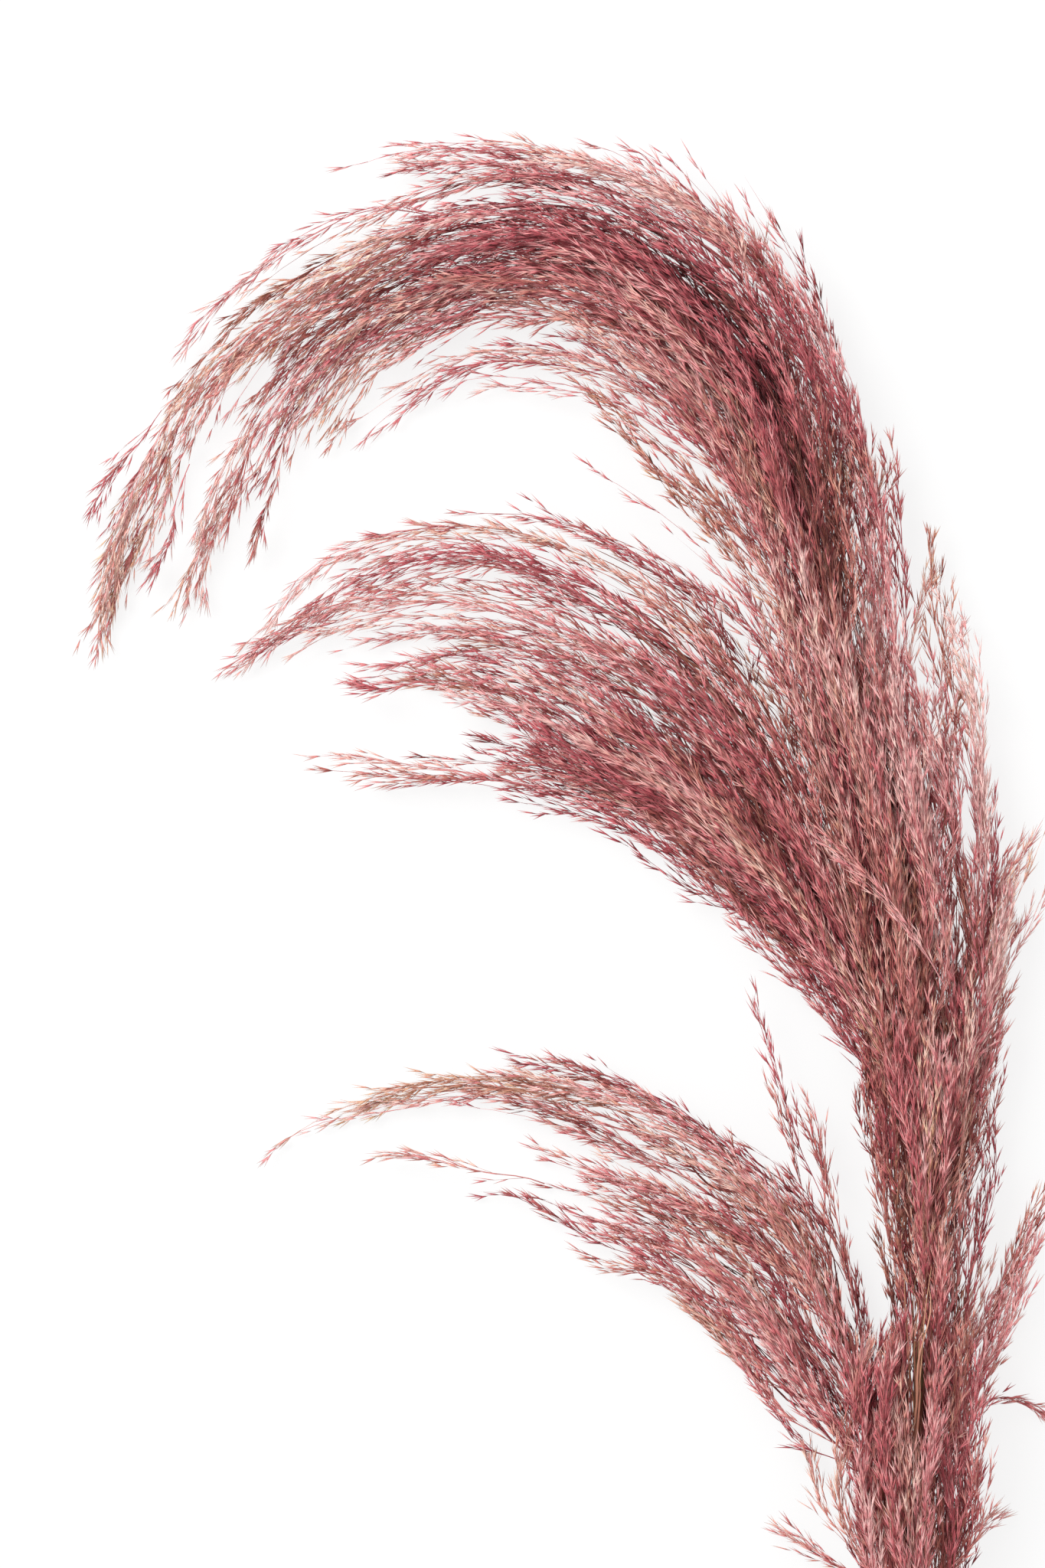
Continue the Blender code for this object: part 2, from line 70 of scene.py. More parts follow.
middle_x, middle_y = on_plume(PHOTO_WIDE / 2, PHOTO_HIGH / 2)
camera_data = bpy.data.cameras.new("camera")
camera_data.sensor_fit = "AUTO"
camera_data.sensor_width = SENSOR
camera_data.lens = SENSOR * (CAMERA_HEIGHT - PLUME_MIDDLE) / (PHOTO_HIGH * PIXEL)
camera_data.clip_end = 50
camera = bpy.data.objects.new("camera", camera_data)
camera.location = (middle_x, middle_y, CAMERA_HEIGHT)
bpy.context.collection.objects.link(camera)
bpy.context.scene.camera = camera
print("lens", round(camera_data.lens), "mm, over", round(middle_x, 3), round(middle_y, 3))

# %% [markdown]
# Each spray streams along a middle line that bends like falling water. A stream is four numbers at
# each guide point: where it is, how high it is above the floor, and half its width there. The solid
# model is built on the streams from the body's to the foot's, so what grows along them stays where the
# solids are. The others, from the bare stems on, run inside and beside those, where a spray needs more.

# %% Streams
# x, y and height of a stream's middle line, and its half width there.
BODY = (
    (0.004, 0.285, 0.0300, 0.020),
    (0.005, 0.353, 0.0300, 0.028),
    (0.005, 0.437, 0.0300, 0.035),
    (-0.002, 0.521, 0.0310, 0.038),
    (-0.016, 0.605, 0.0320, 0.034),
    (-0.034, 0.668, 0.0320, 0.028),
)
ARCH_TO_FAR_TAIL = (
    (0.000, 0.400, 0.0300, 0.012),
    (-0.003, 0.458, 0.0300, 0.026),
    (-0.020, 0.563, 0.0310, 0.032),
    (-0.042, 0.655, 0.0320, 0.035),
    (-0.059, 0.742, 0.0330, 0.039),
    (-0.086, 0.818, 0.0340, 0.046),
    (-0.140, 0.873, 0.0350, 0.047),
    (-0.206, 0.897, 0.0340, 0.043),
    (-0.273, 0.887, 0.0290, 0.033),
    (-0.333, 0.862, 0.0240, 0.028),
    (-0.380, 0.826, 0.0200, 0.025),
    (-0.409, 0.781, 0.0160, 0.020),
    (-0.430, 0.733, 0.0120, 0.014),
    (-0.444, 0.695, 0.0090, 0.009),
    (-0.450, 0.664, 0.0070, 0.004),
)
ARCH_TO_NEAR_TAIL = (
    (-0.034, 0.640, 0.0290, 0.017),
    (-0.064, 0.722, 0.0280, 0.027),
    (-0.094, 0.798, 0.0290, 0.037),
    (-0.143, 0.850, 0.0290, 0.037),
    (-0.199, 0.877, 0.0280, 0.035),
    (-0.256, 0.869, 0.0250, 0.030),
    (-0.310, 0.843, 0.0220, 0.026),
    (-0.348, 0.805, 0.0180, 0.022),
    (-0.373, 0.765, 0.0140, 0.018),
    (-0.389, 0.729, 0.0110, 0.012),
    (-0.398, 0.686, 0.0080, 0.004),
)
INNERMOST_TAIL = (
    (-0.200, 0.868, 0.0250, 0.008),
    (-0.256, 0.855, 0.0220, 0.012),
    (-0.304, 0.824, 0.0170, 0.013),
    (-0.332, 0.786, 0.0120, 0.010),
    (-0.347, 0.744, 0.0070, 0.003),
)
INNER_WISP = (
    (-0.022, 0.626, 0.0310, 0.009),
    (-0.060, 0.700, 0.0310, 0.013),
    (-0.105, 0.764, 0.0290, 0.015),
    (-0.147, 0.802, 0.0240, 0.014),
    (-0.189, 0.822, 0.0200, 0.012),
    (-0.238, 0.824, 0.0160, 0.009),
    (-0.274, 0.805, 0.0120, 0.005),
    (-0.310, 0.774, 0.0080, 0.002),
)
SHORT_INNER_WISP = (
    (-0.020, 0.613, 0.0330, 0.008),
    (-0.070, 0.689, 0.0330, 0.013),
    (-0.118, 0.748, 0.0300, 0.014),
    (-0.162, 0.790, 0.0240, 0.011),
    (-0.209, 0.817, 0.0180, 0.004),
)
STRAY_WISP = (
    (-0.024, 0.600, 0.0300, 0.005),
    (-0.064, 0.664, 0.0290, 0.008),
    (-0.105, 0.715, 0.0270, 0.008),
    (-0.156, 0.749, 0.0230, 0.006),
    (-0.213, 0.768, 0.0180, 0.002),
)
OUTER_WISP = (
    (-0.010, 0.605, 0.0320, 0.012),
    (-0.022, 0.731, 0.0330, 0.019),
    (-0.057, 0.823, 0.0350, 0.022),
    (-0.107, 0.886, 0.0350, 0.020),
    (-0.164, 0.922, 0.0320, 0.017),
    (-0.223, 0.936, 0.0260, 0.012),
    (-0.273, 0.936, 0.0200, 0.007),
    (-0.311, 0.930, 0.0140, 0.002),
)
SIDE_TIP = (
    (-0.024, 0.690, 0.0320, 0.008),
    (-0.042, 0.800, 0.0330, 0.012),
    (-0.067, 0.875, 0.0300, 0.010),
    (-0.098, 0.931, 0.0240, 0.003),
)
TOP_TIP = (
    (-0.040, 0.764, 0.0330, 0.009),
    (-0.068, 0.844, 0.0340, 0.013),
    (-0.110, 0.903, 0.0310, 0.012),
    (-0.158, 0.952, 0.0220, 0.003),
)
MIDDLE_ARCH = (
    (0.001, 0.380, 0.0300, 0.012),
    (-0.022, 0.466, 0.0290, 0.024),
    (-0.050, 0.550, 0.0290, 0.034),
    (-0.094, 0.627, 0.0280, 0.040),
    (-0.147, 0.683, 0.0260, 0.037),
    (-0.206, 0.715, 0.0220, 0.031),
    (-0.265, 0.722, 0.0180, 0.025),
    (-0.315, 0.706, 0.0140, 0.026),
    (-0.353, 0.676, 0.0110, 0.020),
    (-0.386, 0.642, 0.0070, 0.006),
)
MIDDLE_BETWEEN = (
    (-0.040, 0.500, 0.0280, 0.016),
    (-0.090, 0.585, 0.0260, 0.026),
    (-0.145, 0.640, 0.0230, 0.026),
    (-0.205, 0.672, 0.0190, 0.020),
    (-0.265, 0.680, 0.0140, 0.012),
    (-0.319, 0.665, 0.0090, 0.004),
)
MIDDLE_LOWER_ARCH = (
    (-0.026, 0.470, 0.0270, 0.016),
    (-0.066, 0.524, 0.0250, 0.028),
    (-0.113, 0.574, 0.0220, 0.032),
    (-0.162, 0.611, 0.0190, 0.034),
    (-0.214, 0.641, 0.0150, 0.028),
    (-0.265, 0.650, 0.0110, 0.018),
    (-0.311, 0.642, 0.0070, 0.004),
)
MIDDLE_LAST_WISP = (
    (-0.032, 0.470, 0.0240, 0.009),
    (-0.078, 0.518, 0.0200, 0.016),
    (-0.122, 0.558, 0.0180, 0.018),
    (-0.172, 0.584, 0.0150, 0.016),
    (-0.231, 0.597, 0.0120, 0.011),
    (-0.290, 0.600, 0.0090, 0.006),
    (-0.338, 0.611, 0.0060, 0.002),
)
LOWER_ARCH = (
    (-0.006, 0.165, 0.0220, 0.012),
    (-0.023, 0.225, 0.0250, 0.021),
    (-0.043, 0.282, 0.0250, 0.025),
    (-0.066, 0.339, 0.0230, 0.030),
    (-0.112, 0.381, 0.0200, 0.027),
    (-0.164, 0.408, 0.0170, 0.021),
    (-0.214, 0.421, 0.0140, 0.016),
    (-0.265, 0.422, 0.0110, 0.012),
    (-0.319, 0.407, 0.0080, 0.008),
    (-0.369, 0.378, 0.0050, 0.003),
)
LOWER_LAST_WISP = (
    (-0.011, 0.172, 0.0218, 0.014),
    (-0.029, 0.212, 0.0208, 0.024),
    (-0.055, 0.250, 0.0190, 0.026),
    (-0.088, 0.294, 0.0165, 0.026),
    (-0.130, 0.329, 0.0150, 0.021),
    (-0.181, 0.356, 0.0120, 0.015),
    (-0.239, 0.378, 0.0090, 0.009),
    (-0.302, 0.386, 0.0050, 0.003),
)
UPRIGHT_WISP = (
    (-0.026, 0.276, 0.0260, 0.008),
    (-0.044, 0.340, 0.0260, 0.013),
    (-0.058, 0.395, 0.0240, 0.016),
    (-0.070, 0.439, 0.0200, 0.014),
    (-0.082, 0.480, 0.0150, 0.006),
)
RIGHT_SPRAY = (
    (0.003, 0.176, 0.0210, 0.006),
    (0.013, 0.222, 0.0230, 0.009),
    (0.027, 0.254, 0.0220, 0.014),
    (0.044, 0.289, 0.0190, 0.018),
    (0.059, 0.325, 0.0160, 0.017),
    (0.073, 0.360, 0.0120, 0.011),
    (0.092, 0.397, 0.0070, 0.004),
)
RIGHT_LOW_WISP = (
    (0.014, 0.225, 0.0210, 0.004),
    (0.034, 0.243, 0.0180, 0.006),
    (0.054, 0.250, 0.0140, 0.006),
    (0.078, 0.245, 0.0080, 0.002),
)
SIDE_SPRAY = (
    (0.001, 0.330, 0.0300, 0.006),
    (0.020, 0.392, 0.0290, 0.012),
    (0.030, 0.446, 0.0270, 0.017),
    (0.042, 0.498, 0.0240, 0.017),
    (0.055, 0.540, 0.0190, 0.011),
    (0.071, 0.583, 0.0130, 0.003),
)
SIDE_UPPER_WISP = (
    (0.028, 0.446, 0.0280, 0.008),
    (0.035, 0.515, 0.0270, 0.013),
    (0.034, 0.580, 0.0250, 0.015),
    (0.026, 0.640, 0.0220, 0.013),
    (0.015, 0.690, 0.0180, 0.009),
    (0.013, 0.737, 0.0130, 0.003),
)
FOOT = (
    (0.002, 0.092, 0.0180, 0.014),
    (0.001, 0.120, 0.0260, 0.026),
    (0.000, 0.150, 0.0315, 0.034),
    (-0.004, 0.200, 0.0370, 0.040),
    (-0.004, 0.250, 0.0410, 0.038),
    (0.000, 0.292, 0.0420, 0.032),
)
BARE_STEMS = (
    (0.000, 0.200, 0.0400, 0.006),
    (-0.001, 0.240, 0.0480, 0.006),
    (0.000, 0.280, 0.0520, 0.006),
    (0.001, 0.330, 0.0540, 0.007),
)
BASE = (
    (0.005, 0.2150, 0.0330, 0.019),
    (0.008, 0.2700, 0.0340, 0.021),
    (0.008, 0.3300, 0.0340, 0.026),
    (0.007, 0.3900, 0.0340, 0.031),
    (0.004, 0.4500, 0.0340, 0.037),
)
CROSSING_STRAND = (
    (0.016, 0.4780, 0.0620, 0.001),
    (-0.002, 0.5080, 0.0680, 0.001),
    (-0.026, 0.5380, 0.0700, 0.001),
    (-0.060, 0.5640, 0.0680, 0.001),
)
BETWEEN_TAIL = (
    (-0.230, 0.880, 0.0260, 0.008),
    (-0.290, 0.857, 0.0220, 0.011),
    (-0.332, 0.812, 0.0180, 0.011),
    (-0.357, 0.765, 0.0130, 0.008),
    (-0.373, 0.716, 0.0080, 0.003),
)
MIDDLE_ROOT = (
    (0.004, 0.385, 0.0300, 0.012),
    (-0.013, 0.432, 0.0290, 0.020),
    (-0.032, 0.468, 0.0280, 0.023),
    (-0.050, 0.497, 0.0270, 0.024),
    (-0.073, 0.527, 0.0260, 0.025),
    (-0.100, 0.558, 0.0250, 0.024),
    (-0.138, 0.590, 0.0220, 0.020),
    (-0.185, 0.615, 0.0180, 0.010),
)
MIDDLE_INNER = (
    (-0.158, 0.642, 0.0250, 0.014),
    (-0.200, 0.672, 0.0230, 0.016),
    (-0.250, 0.690, 0.0190, 0.015),
    (-0.300, 0.688, 0.0150, 0.013),
    (-0.340, 0.675, 0.0110, 0.009),
    (-0.389, 0.644, 0.0070, 0.003),
)
LOWER_TOP_WISP = (
    (-0.090, 0.378, 0.0210, 0.008),
    (-0.130, 0.408, 0.0190, 0.011),
    (-0.180, 0.422, 0.0160, 0.010),
    (-0.230, 0.431, 0.0130, 0.008),
    (-0.292, 0.438, 0.0090, 0.003),
)
MIDDLE_LOW = (
    (-0.048, 0.492, 0.0230, 0.008),
    (-0.094, 0.540, 0.0210, 0.012),
    (-0.140, 0.577, 0.0180, 0.013),
    (-0.188, 0.604, 0.0150, 0.011),
    (-0.240, 0.618, 0.0110, 0.004),
)
LOWER_BETWEEN = (
    (-0.018, 0.250, 0.0230, 0.010),
    (-0.058, 0.308, 0.0210, 0.014),
    (-0.106, 0.346, 0.0180, 0.014),
    (-0.160, 0.372, 0.0150, 0.011),
    (-0.214, 0.386, 0.0110, 0.004),
)

# %% [markdown]
# A few guide points can't bend smoothly by themselves. A Catmull-Rom curve runs through all of them,
# and carries the height and the width along with the place. What grows along a stream asks it for
# places at shares of its length, from 0 at the root to 1 at the tip, for many strands at once.

# %% A smooth stream
POINTS_PER_SPAN = 12


def smooth_line(rows):
    """Catmull-Rom points through the rows, with every column carried along."""
    rows = np.array(rows)
    ends = np.vstack([2 * rows[0] - rows[1], rows, 2 * rows[-1] - rows[-2]])
    t = (np.arange(POINTS_PER_SPAN) / POINTS_PER_SPAN)[:, None]
    spans = []
    for a, b, c, d in zip(ends, ends[1:], ends[2:], ends[3:]):
        curve = 2 * b + (c - a) * t + (2 * a - 5 * b + 4 * c - d) * t**2
        spans.append(0.5 * (curve + (3 * b - a - 3 * c + d) * t**3))
    return np.vstack(spans + [rows[-1:]])


class Stream:
    def __init__(self, rows):
        self.line = smooth_line(rows)
        steps = np.linalg.norm(np.diff(self.line[:, :3], axis=0), axis=1)
        self.length = steps.sum()
        self.shares = np.concatenate([[0], np.cumsum(steps)]) / self.length

    def at(self, share):
        """x, y, height and half width at each share, as a last axis of four."""
        return np.stack([np.interp(share, self.shares, column) for column in self.line.T], axis=-1)


print("the far arch is", round(Stream(ARCH_TO_FAR_TAIL).length, 3), "m long")

# %% [markdown]
# A spikelet of this grass is two slim papery scales that part at their tips. Each scale is a
# three-sided dart: six triangles, because there will be tens of thousands. It starts as the coarsest
# possible sphere, whose poles are pulled out to the two points. The shape is one unit high, so that it
# can be stretched along any short path later.

# %% Spikelet shape
Shape = namedtuple("Shape", "spots faces")
FLATNESS = 0.7  # thickness of a scale over its width


def as_shape(body):
    """A finished bmesh as plain arrays of corners and triangles."""
    bmesh.ops.triangulate(body, faces=body.faces)
    bmesh.ops.recalc_face_normals(body, faces=body.faces)
    body.verts.index_update()
    spots = np.array([corner.co for corner in body.verts])
    faces = np.array([[corner.index for corner in face.verts] for face in body.faces])
    body.free()
    return Shape(spots, faces)


def add_scale(body, widest, top, radius, parting):
    """One dart, as high as top, that leans aside by parting times its height squared."""
    for corner in bmesh.ops.create_uvsphere(body, u_segments=3, v_segments=2, radius=1)["verts"]:
        height = 0 if corner.co.z < -0.5 else top if corner.co.z > 0.5 else widest
        corner.co.x = corner.co.x * radius + parting * height**2
        corner.co.y = corner.co.y * radius * FLATNESS
        corner.co.z = height


spikelet_body = bmesh.new()
add_scale(spikelet_body, widest=0.28, top=1.00, radius=1.0, parting=-1.0)
add_scale(spikelet_body, widest=0.34, top=0.86, radius=0.8, parting=4.2)
SPIKELET = as_shape(spikelet_body)
print("a spikelet has", len(SPIKELET.faces), "triangles")

# %% [markdown]
# Branchlets are threads with three sides: a triangle that is pushed up ring by ring and closed to a
# point. Curves with a bevel would give the same look, but they can't take a tint of their own so easily.

# %% Thread shape
TAPER = 0.65  # share of its width that a thread has lost near its tip


def thread_shape(steps):
    body = bmesh.new()
    ring = bmesh.ops.create_circle(body, cap_ends=True, segments=3, radius=1)["verts"]
    edges = body.edges[:]
    for step in range(steps):
        made = bmesh.ops.extrude_edge_only(body, edges=edges)["geom"]
        ring = [part for part in made if isinstance(part, bmesh.types.BMVert)]
        edges = [part for part in made if isinstance(part, bmesh.types.BMEdge)]
        bmesh.ops.translate(body, verts=ring, vec=(0, 0, 1 / steps))
        left = 1 - TAPER * (step + 1) / steps
        before = 1 - TAPER * step / steps
        bmesh.ops.scale(body, verts=ring, vec=(left / before, left / before, 1))
    bmesh.ops.pointmerge(body, verts=ring, merge_co=(0, 0, 1))
    return as_shape(body)


STRAND_STEPS = 11
THIN_STEPS = 4
STRAND = thread_shape(STRAND_STEPS)
THIN_STRAND = thread_shape(THIN_STEPS)
BRANCHLET = thread_shape(1)
print("a strand has", len(STRAND.faces), "triangles, a branchlet", len(BRANCHLET.faces))

# %% [markdown]
# Growing is one rule for every shape: a copy's height runs along its own path, and its width
# across it. Working on whole arrays of paths at once takes a second where a loop would take minutes.

# %% Growing copies along paths
def unit(vectors):
    return vectors / np.maximum(np.linalg.norm(vectors, axis=-1, keepdims=True), 1e-12)


def grow(shape, paths, radii, rolls):
    """Corners of one copy of the shape along each path, as copies by corners by three."""
    steps = paths.shape[1] - 1
    ahead = unit(np.gradient(paths, axis=1))
    rolls = rolls[:, None, :]
    across = unit(rolls - ahead * (rolls * ahead).sum(-1, keepdims=True))
    third = np.cross(ahead, across)
    where = np.clip(shape.spots[:, 2], 0, 1) * steps
    low = np.minimum(where.astype(int), steps - 1)
    part = (where - low)[:, None]

    def at_heights(values):
        return values[:, low] * (1 - part) + values[:, low + 1] * part

    aside = at_heights(across) * shape.spots[:, 0:1] + at_heights(third) * shape.spots[:, 1:2]
    return at_heights(paths) + aside * radii[:, None, None]


# %% [markdown]
# A plume isn't even fur. Its strands hang together in locks, dark gaps lie between the locks, and fewer
# and fewer of them reach the tips, so the far end of a spray is a handful of separate threads. Each lock
# leaves the stream's middle, opens to a place of its own on some side of it, and runs along with it, a
# little wavy. Its root and its place come from a rule that spreads any number of locks evenly, the way a
# sunflower spaces its seeds, in three directions instead of two. Lengths and waves are drawn from a seeded
# generator, so they are the same each run.

# %% Locks of a stream
EVEN = 1.2207440846  # its powers are the steps that fill three values evenly
OPENS_OVER = 0.35  # share of a lock's length in which it reaches its own place
FLARE = 0.06  # how much wider than its stream a lock may end
BESIDE = 0.01  # share of a stream, each way, over which its direction is read
STREAM_DEPTH = 0.72  # height over width of the room that locks fill
SWAY = 0.004
SWAY_UP = 0.6  # of the sway to the side
WAVE_PACES = (4, 10)  # radians over a lock's length
STRAY = 0.004
ENDS_OVER = 0.14  # share of a stream over which the strands that reach its end stop
GATHER = 0.62  # 0.5 would fill a stream evenly out to its edge
LOWEST = 0.0012  # height of the lowest middle of a thread or spikelet
# painted light and shade: locks that lie higher are lighter, deeper ones darker
PAINTED_LIGHT_ABOVE = 0.14
LIGHT_VARIES, LIGHT_LIMIT = 0.14, 0.19
BROWN_VARIES, BROWN_LIMIT = 0.22, 0.35

Grown = namedtuple("Grown", "paths light brown")


def spread(count):
    """Three values for each lock, which fill the room from 0 to 1 evenly."""
    return ((0.5 + np.arange(count)[:, None] / EVEN ** np.arange(1, 4)) % 1).T


def waves(count, t, draw):
    phase = draw.uniform(0, 2 * math.pi, (count, 1))
    pace = draw.uniform(*WAVE_PACES, (count, 1))
    return SWAY * draw.random((count, 1)) * t * np.sin(phase + pace * t)


def locks_of(fill, draw):
    """The middle strand of every lock of one stream, with how light and how brown each is."""
    stream = Stream(fill.path)
    root, turn, reach = spread(fill.locks)
    first = fill.last_root * (1 - (1 - root) ** (1 / (1 + fill.thinning)))
    length = draw.uniform(fill.shortest, fill.longest, fill.locks) / stream.length
    last = np.minimum(first + length, 1 - ENDS_OVER * draw.random(fill.locks) ** 2)
    t = np.linspace(0, 1, STRAND_STEPS + 1)
    share = first[:, None] + (last - first)[:, None] * t
    middle = stream.at(share)
    heading = unit((stream.at(share + BESIDE) - stream.at(share - BESIDE))[..., :2])
    side = np.stack([heading[..., 1], -heading[..., 0]], axis=-1)

    across = np.cos(2 * math.pi * turn) * reach**GATHER
    above = np.sin(2 * math.pi * turn) * reach**GATHER * STREAM_DEPTH
    opened = np.minimum(t / OPENS_OVER, 1)
    opened = opened**2 * (3 - 2 * opened) * (1 + FLARE * t**2)
    aside = middle[..., 3] * across[:, None] * opened + waves(fill.locks, t, draw)
    lift = middle[..., 3] * above[:, None] * opened + SWAY_UP * waves(fill.locks, t, draw)
    aside += draw.normal(0, STRAY, (fill.locks, 1)) * t**2
    lift += draw.normal(0, STRAY / 2, (fill.locks, 1)) * t**2
    paths = np.dstack([middle[..., :2] + side * aside[..., None], middle[..., 2] + lift])
    paths[..., 2] = np.maximum(paths[..., 2], LOWEST)
    lighter = draw.normal(0, LIGHT_VARIES, fill.locks).clip(-LIGHT_LIMIT, LIGHT_LIMIT)
    browner = draw.normal(0, BROWN_VARIES, fill.locks).clip(-BROWN_LIMIT, BROWN_LIMIT)
    # painted light and shade by depth: higher locks lighter, deeper locks darker
    light = fill.light + PAINTED_LIGHT_ABOVE * above / STREAM_DEPTH + lighter
    return Grown(paths, light, fill.brown + browner)


# %% [markdown]
# Everything finer grows by one rule too: thin strands leave a lock's middle strand, branchlets leave the
# strands, and spikelets leave both. Each leans out from its parent and bends back to run along with it,
# and those near a parent's tip are shorter, which is what makes a strand end in a soft point. None of
# them reaches further past its parent's tip than a set share of the parent's length.

# %% What grows along a strand
GOLDEN_TURN = 2.4  # radians between one growth and the next
UP = np.array([0.0, 0.0, 1.0])
# How many on each parent, between which shares of it, their lengths, their leans in degrees, how straight
# they stay, how much shorter they are near its tip, the steps of their path, and how far they may reach.
Growth = namedtuple("Growth", "each span length lean straight shrink steps past")
LIGHTER_ALONG = 0.08
LIGHT_STRAYS, BROWN_STRAYS = 0.07, 0.08


def place_on(paths, t):
    """Places and headings at shares t of each path, straight on past its tip where t is over one."""
    where = t * (paths.shape[1] - 1)
    low = np.clip(where.astype(int), 0, paths.shape[1] - 2)[..., None]
    a, b = np.take_along_axis(paths, low, 1), np.take_along_axis(paths, low + 1, 1)
    return a + (b - a) * (where[..., None] - low), unit(b - a)


def sprout(parents, growth, draw):
    """Short growths along each parent, which follow its curve beside it."""
    count, each = len(parents.paths), growth.each
    begin, end = growth.span
    t = begin + (end - begin) * (np.arange(each) + draw.uniform(0, 1, (count, each))) / each
    length = draw.uniform(*growth.length, t.shape) * (1 - growth.shrink * t)
    parent_length = np.linalg.norm(np.diff(parents.paths, axis=1), axis=-1).sum(axis=1)
    length = np.minimum(length, (growth.past - t) * parent_length[:, None])
    s = np.linspace(0, 1, growth.steps + 1)
    share = t[..., None] + s * (length / parent_length[:, None])[..., None]
    along, ahead = place_on(parents.paths, share.reshape(count, -1))
    along = along.reshape(count, each, growth.steps + 1, 3)
    ahead = ahead.reshape(count, each, growth.steps + 1, 3)[:, :, 0]
    side = unit(np.cross(ahead, UP) + 1e-9)
    over = np.cross(side, ahead)
    turn = GOLDEN_TURN * np.arange(each) + draw.uniform(0, 2 * math.pi, (count, 1))
    out = side * np.cos(turn)[..., None] + over * np.sin(turn)[..., None]
    lean = np.radians(draw.uniform(*growth.lean, t.shape))
    away = (length * np.sin(lean))[..., None] * (s - (1 - growth.straight) * s**2 / 2)
    grown = (along + out[..., None, :] * away[..., None]).reshape(-1, growth.steps + 1, 3)
    grown[..., 2] = np.maximum(grown[..., 2], LOWEST)
    light = (parents.light[:, None] + LIGHTER_ALONG * t).ravel()
    light += draw.normal(0, LIGHT_STRAYS, count * each)
    brown = np.repeat(parents.brown, each) + draw.normal(0, BROWN_STRAYS, count * each)
    return Grown(grown, light, brown)


# %% [markdown]
# The dye took unevenly, and light and shade are painted in with it. The arch is maroon at heart and rose
# outside; its maroon heart is partly dye and partly painted shade of the arch's deep core. The drooping
# tails are straw and salmon, and brown shows where the plume is old and thick. The lighter patches on
# the plume's right side and at the foot are painted light, where the lamp leaves shade. Each such patch
# is a soft round spot on the plume, given as in the photograph: where it is, how wide, and how much
# lighter and browner it makes what grows there. In a narrow stretch at the top of the foot nothing fine
# grows, and bare stems show.

# %% Patches of colour
Patch = namedtuple("Patch", "column row radius lighter browner")
DYE_AND_PAINTED_LIGHT_PATCHES = (
    Patch(640, 300, 90, -0.04, -0.20),
    Patch(560, 315, 38, -0.08, -0.10),
    Patch(640, 296, 40, -0.06, -0.10),
    # the arch's dark maroon heart: partly dye, partly painted shade of its deep core
    Patch(720, 292, 38, -0.22, -0.25),
    Patch(800, 310, 38, -0.32, -0.25),
    Patch(865, 342, 40, -0.42, -0.25),
    Patch(920, 380, 42, -0.48, -0.20),
    Patch(966, 430, 42, -0.52, -0.15),
    Patch(1004, 494, 42, -0.52, -0.10),
    Patch(1032, 562, 42, -0.50, -0.05),
    Patch(1054, 632, 40, -0.46, 0.05),
    Patch(1078, 705, 38, -0.36, 0.10),
    Patch(1100, 775, 36, -0.28, 0.25),
    Patch(850, 250, 90, 0.04, -0.25),
    Patch(880, 520, 80, 0.02, -0.05),
    Patch(1080, 480, 45, 0.08, -0.05),
    Patch(1010, 740, 60, 0.08, -0.15),
    Patch(330, 430, 120, 0.06, 0.20),
    Patch(470, 330, 80, 0.02, 0.16),
    Patch(190, 600, 120, 0.04, 0.06),
    Patch(130, 780, 90, 0.02, 0.14),
    Patch(1115, 620, 45, -0.06, 0.40),
    Patch(900, 890, 80, -0.16, 0.14),
    Patch(830, 980, 70, -0.12, -0.14),
    Patch(1010, 1020, 90, -0.18, 0.12),
    Patch(900, 1040, 70, -0.02, -0.18),
    Patch(1040, 1165, 60, -0.02, -0.16),
    Patch(430, 985, 60, -0.08, -0.12),
    Patch(450, 900, 50, -0.08, -0.14),
    Patch(1110, 1180, 70, -0.16, 0.16),
    Patch(1150, 1380, 60, -0.08, 0.15),
    Patch(1190, 1600, 50, -0.04, 0.24),
    Patch(1185, 1760, 45, -0.08, 0.12),
    Patch(1120, 1850, 60, -0.10, -0.05),
    Patch(450, 1440, 200, 0.02, 0.15),
    Patch(960, 1640, 80, -0.10, 0.15),
    Patch(400, 780, 160, 0.04, -0.20),
    Patch(700, 1000, 110, -0.02, -0.25),
    # painted light: these lighten the plume's right side and the foot, which the lamp leaves in shade
    Patch(1240, 1050, 90, 0.14, -0.15),
    Patch(1190, 880, 60, 0.12, -0.10),
    Patch(1230, 1240, 60, 0.10, -0.05),
    Patch(1255, 1920, 50, 0.04, -0.05),
    Patch(1060, 1760, 80, 0.04, -0.20),
    Patch(1260, 1400, 70, 0.06, -0.10),
)
BARE_MIDDLE = (1194, 1804)  # of the stretch where the photograph shows bare stems
BARE_WIDE, BARE_HIGH = 13, 68  # half of its width and height, in pixels
RAGGED, RAGGED_PACES = 0.35, (40, 3)  # how unevenly it ends, so that no clean edge shows


def off_the_cane(grown):
    """The same growth, without what would hide the bare stretch."""
    x, y = (grown.paths.mean(axis=1)[:, :2] - on_plume(*BARE_MIDDLE)).T / PIXEL
    ragged = 1 + RAGGED * np.sin(RAGGED_PACES[0] * x) * np.sin(RAGGED_PACES[1] * y)
    kept = (x / BARE_WIDE) ** 2 + (y / BARE_HIGH) ** 2 > ragged
    return Grown(*(column[kept] for column in grown))


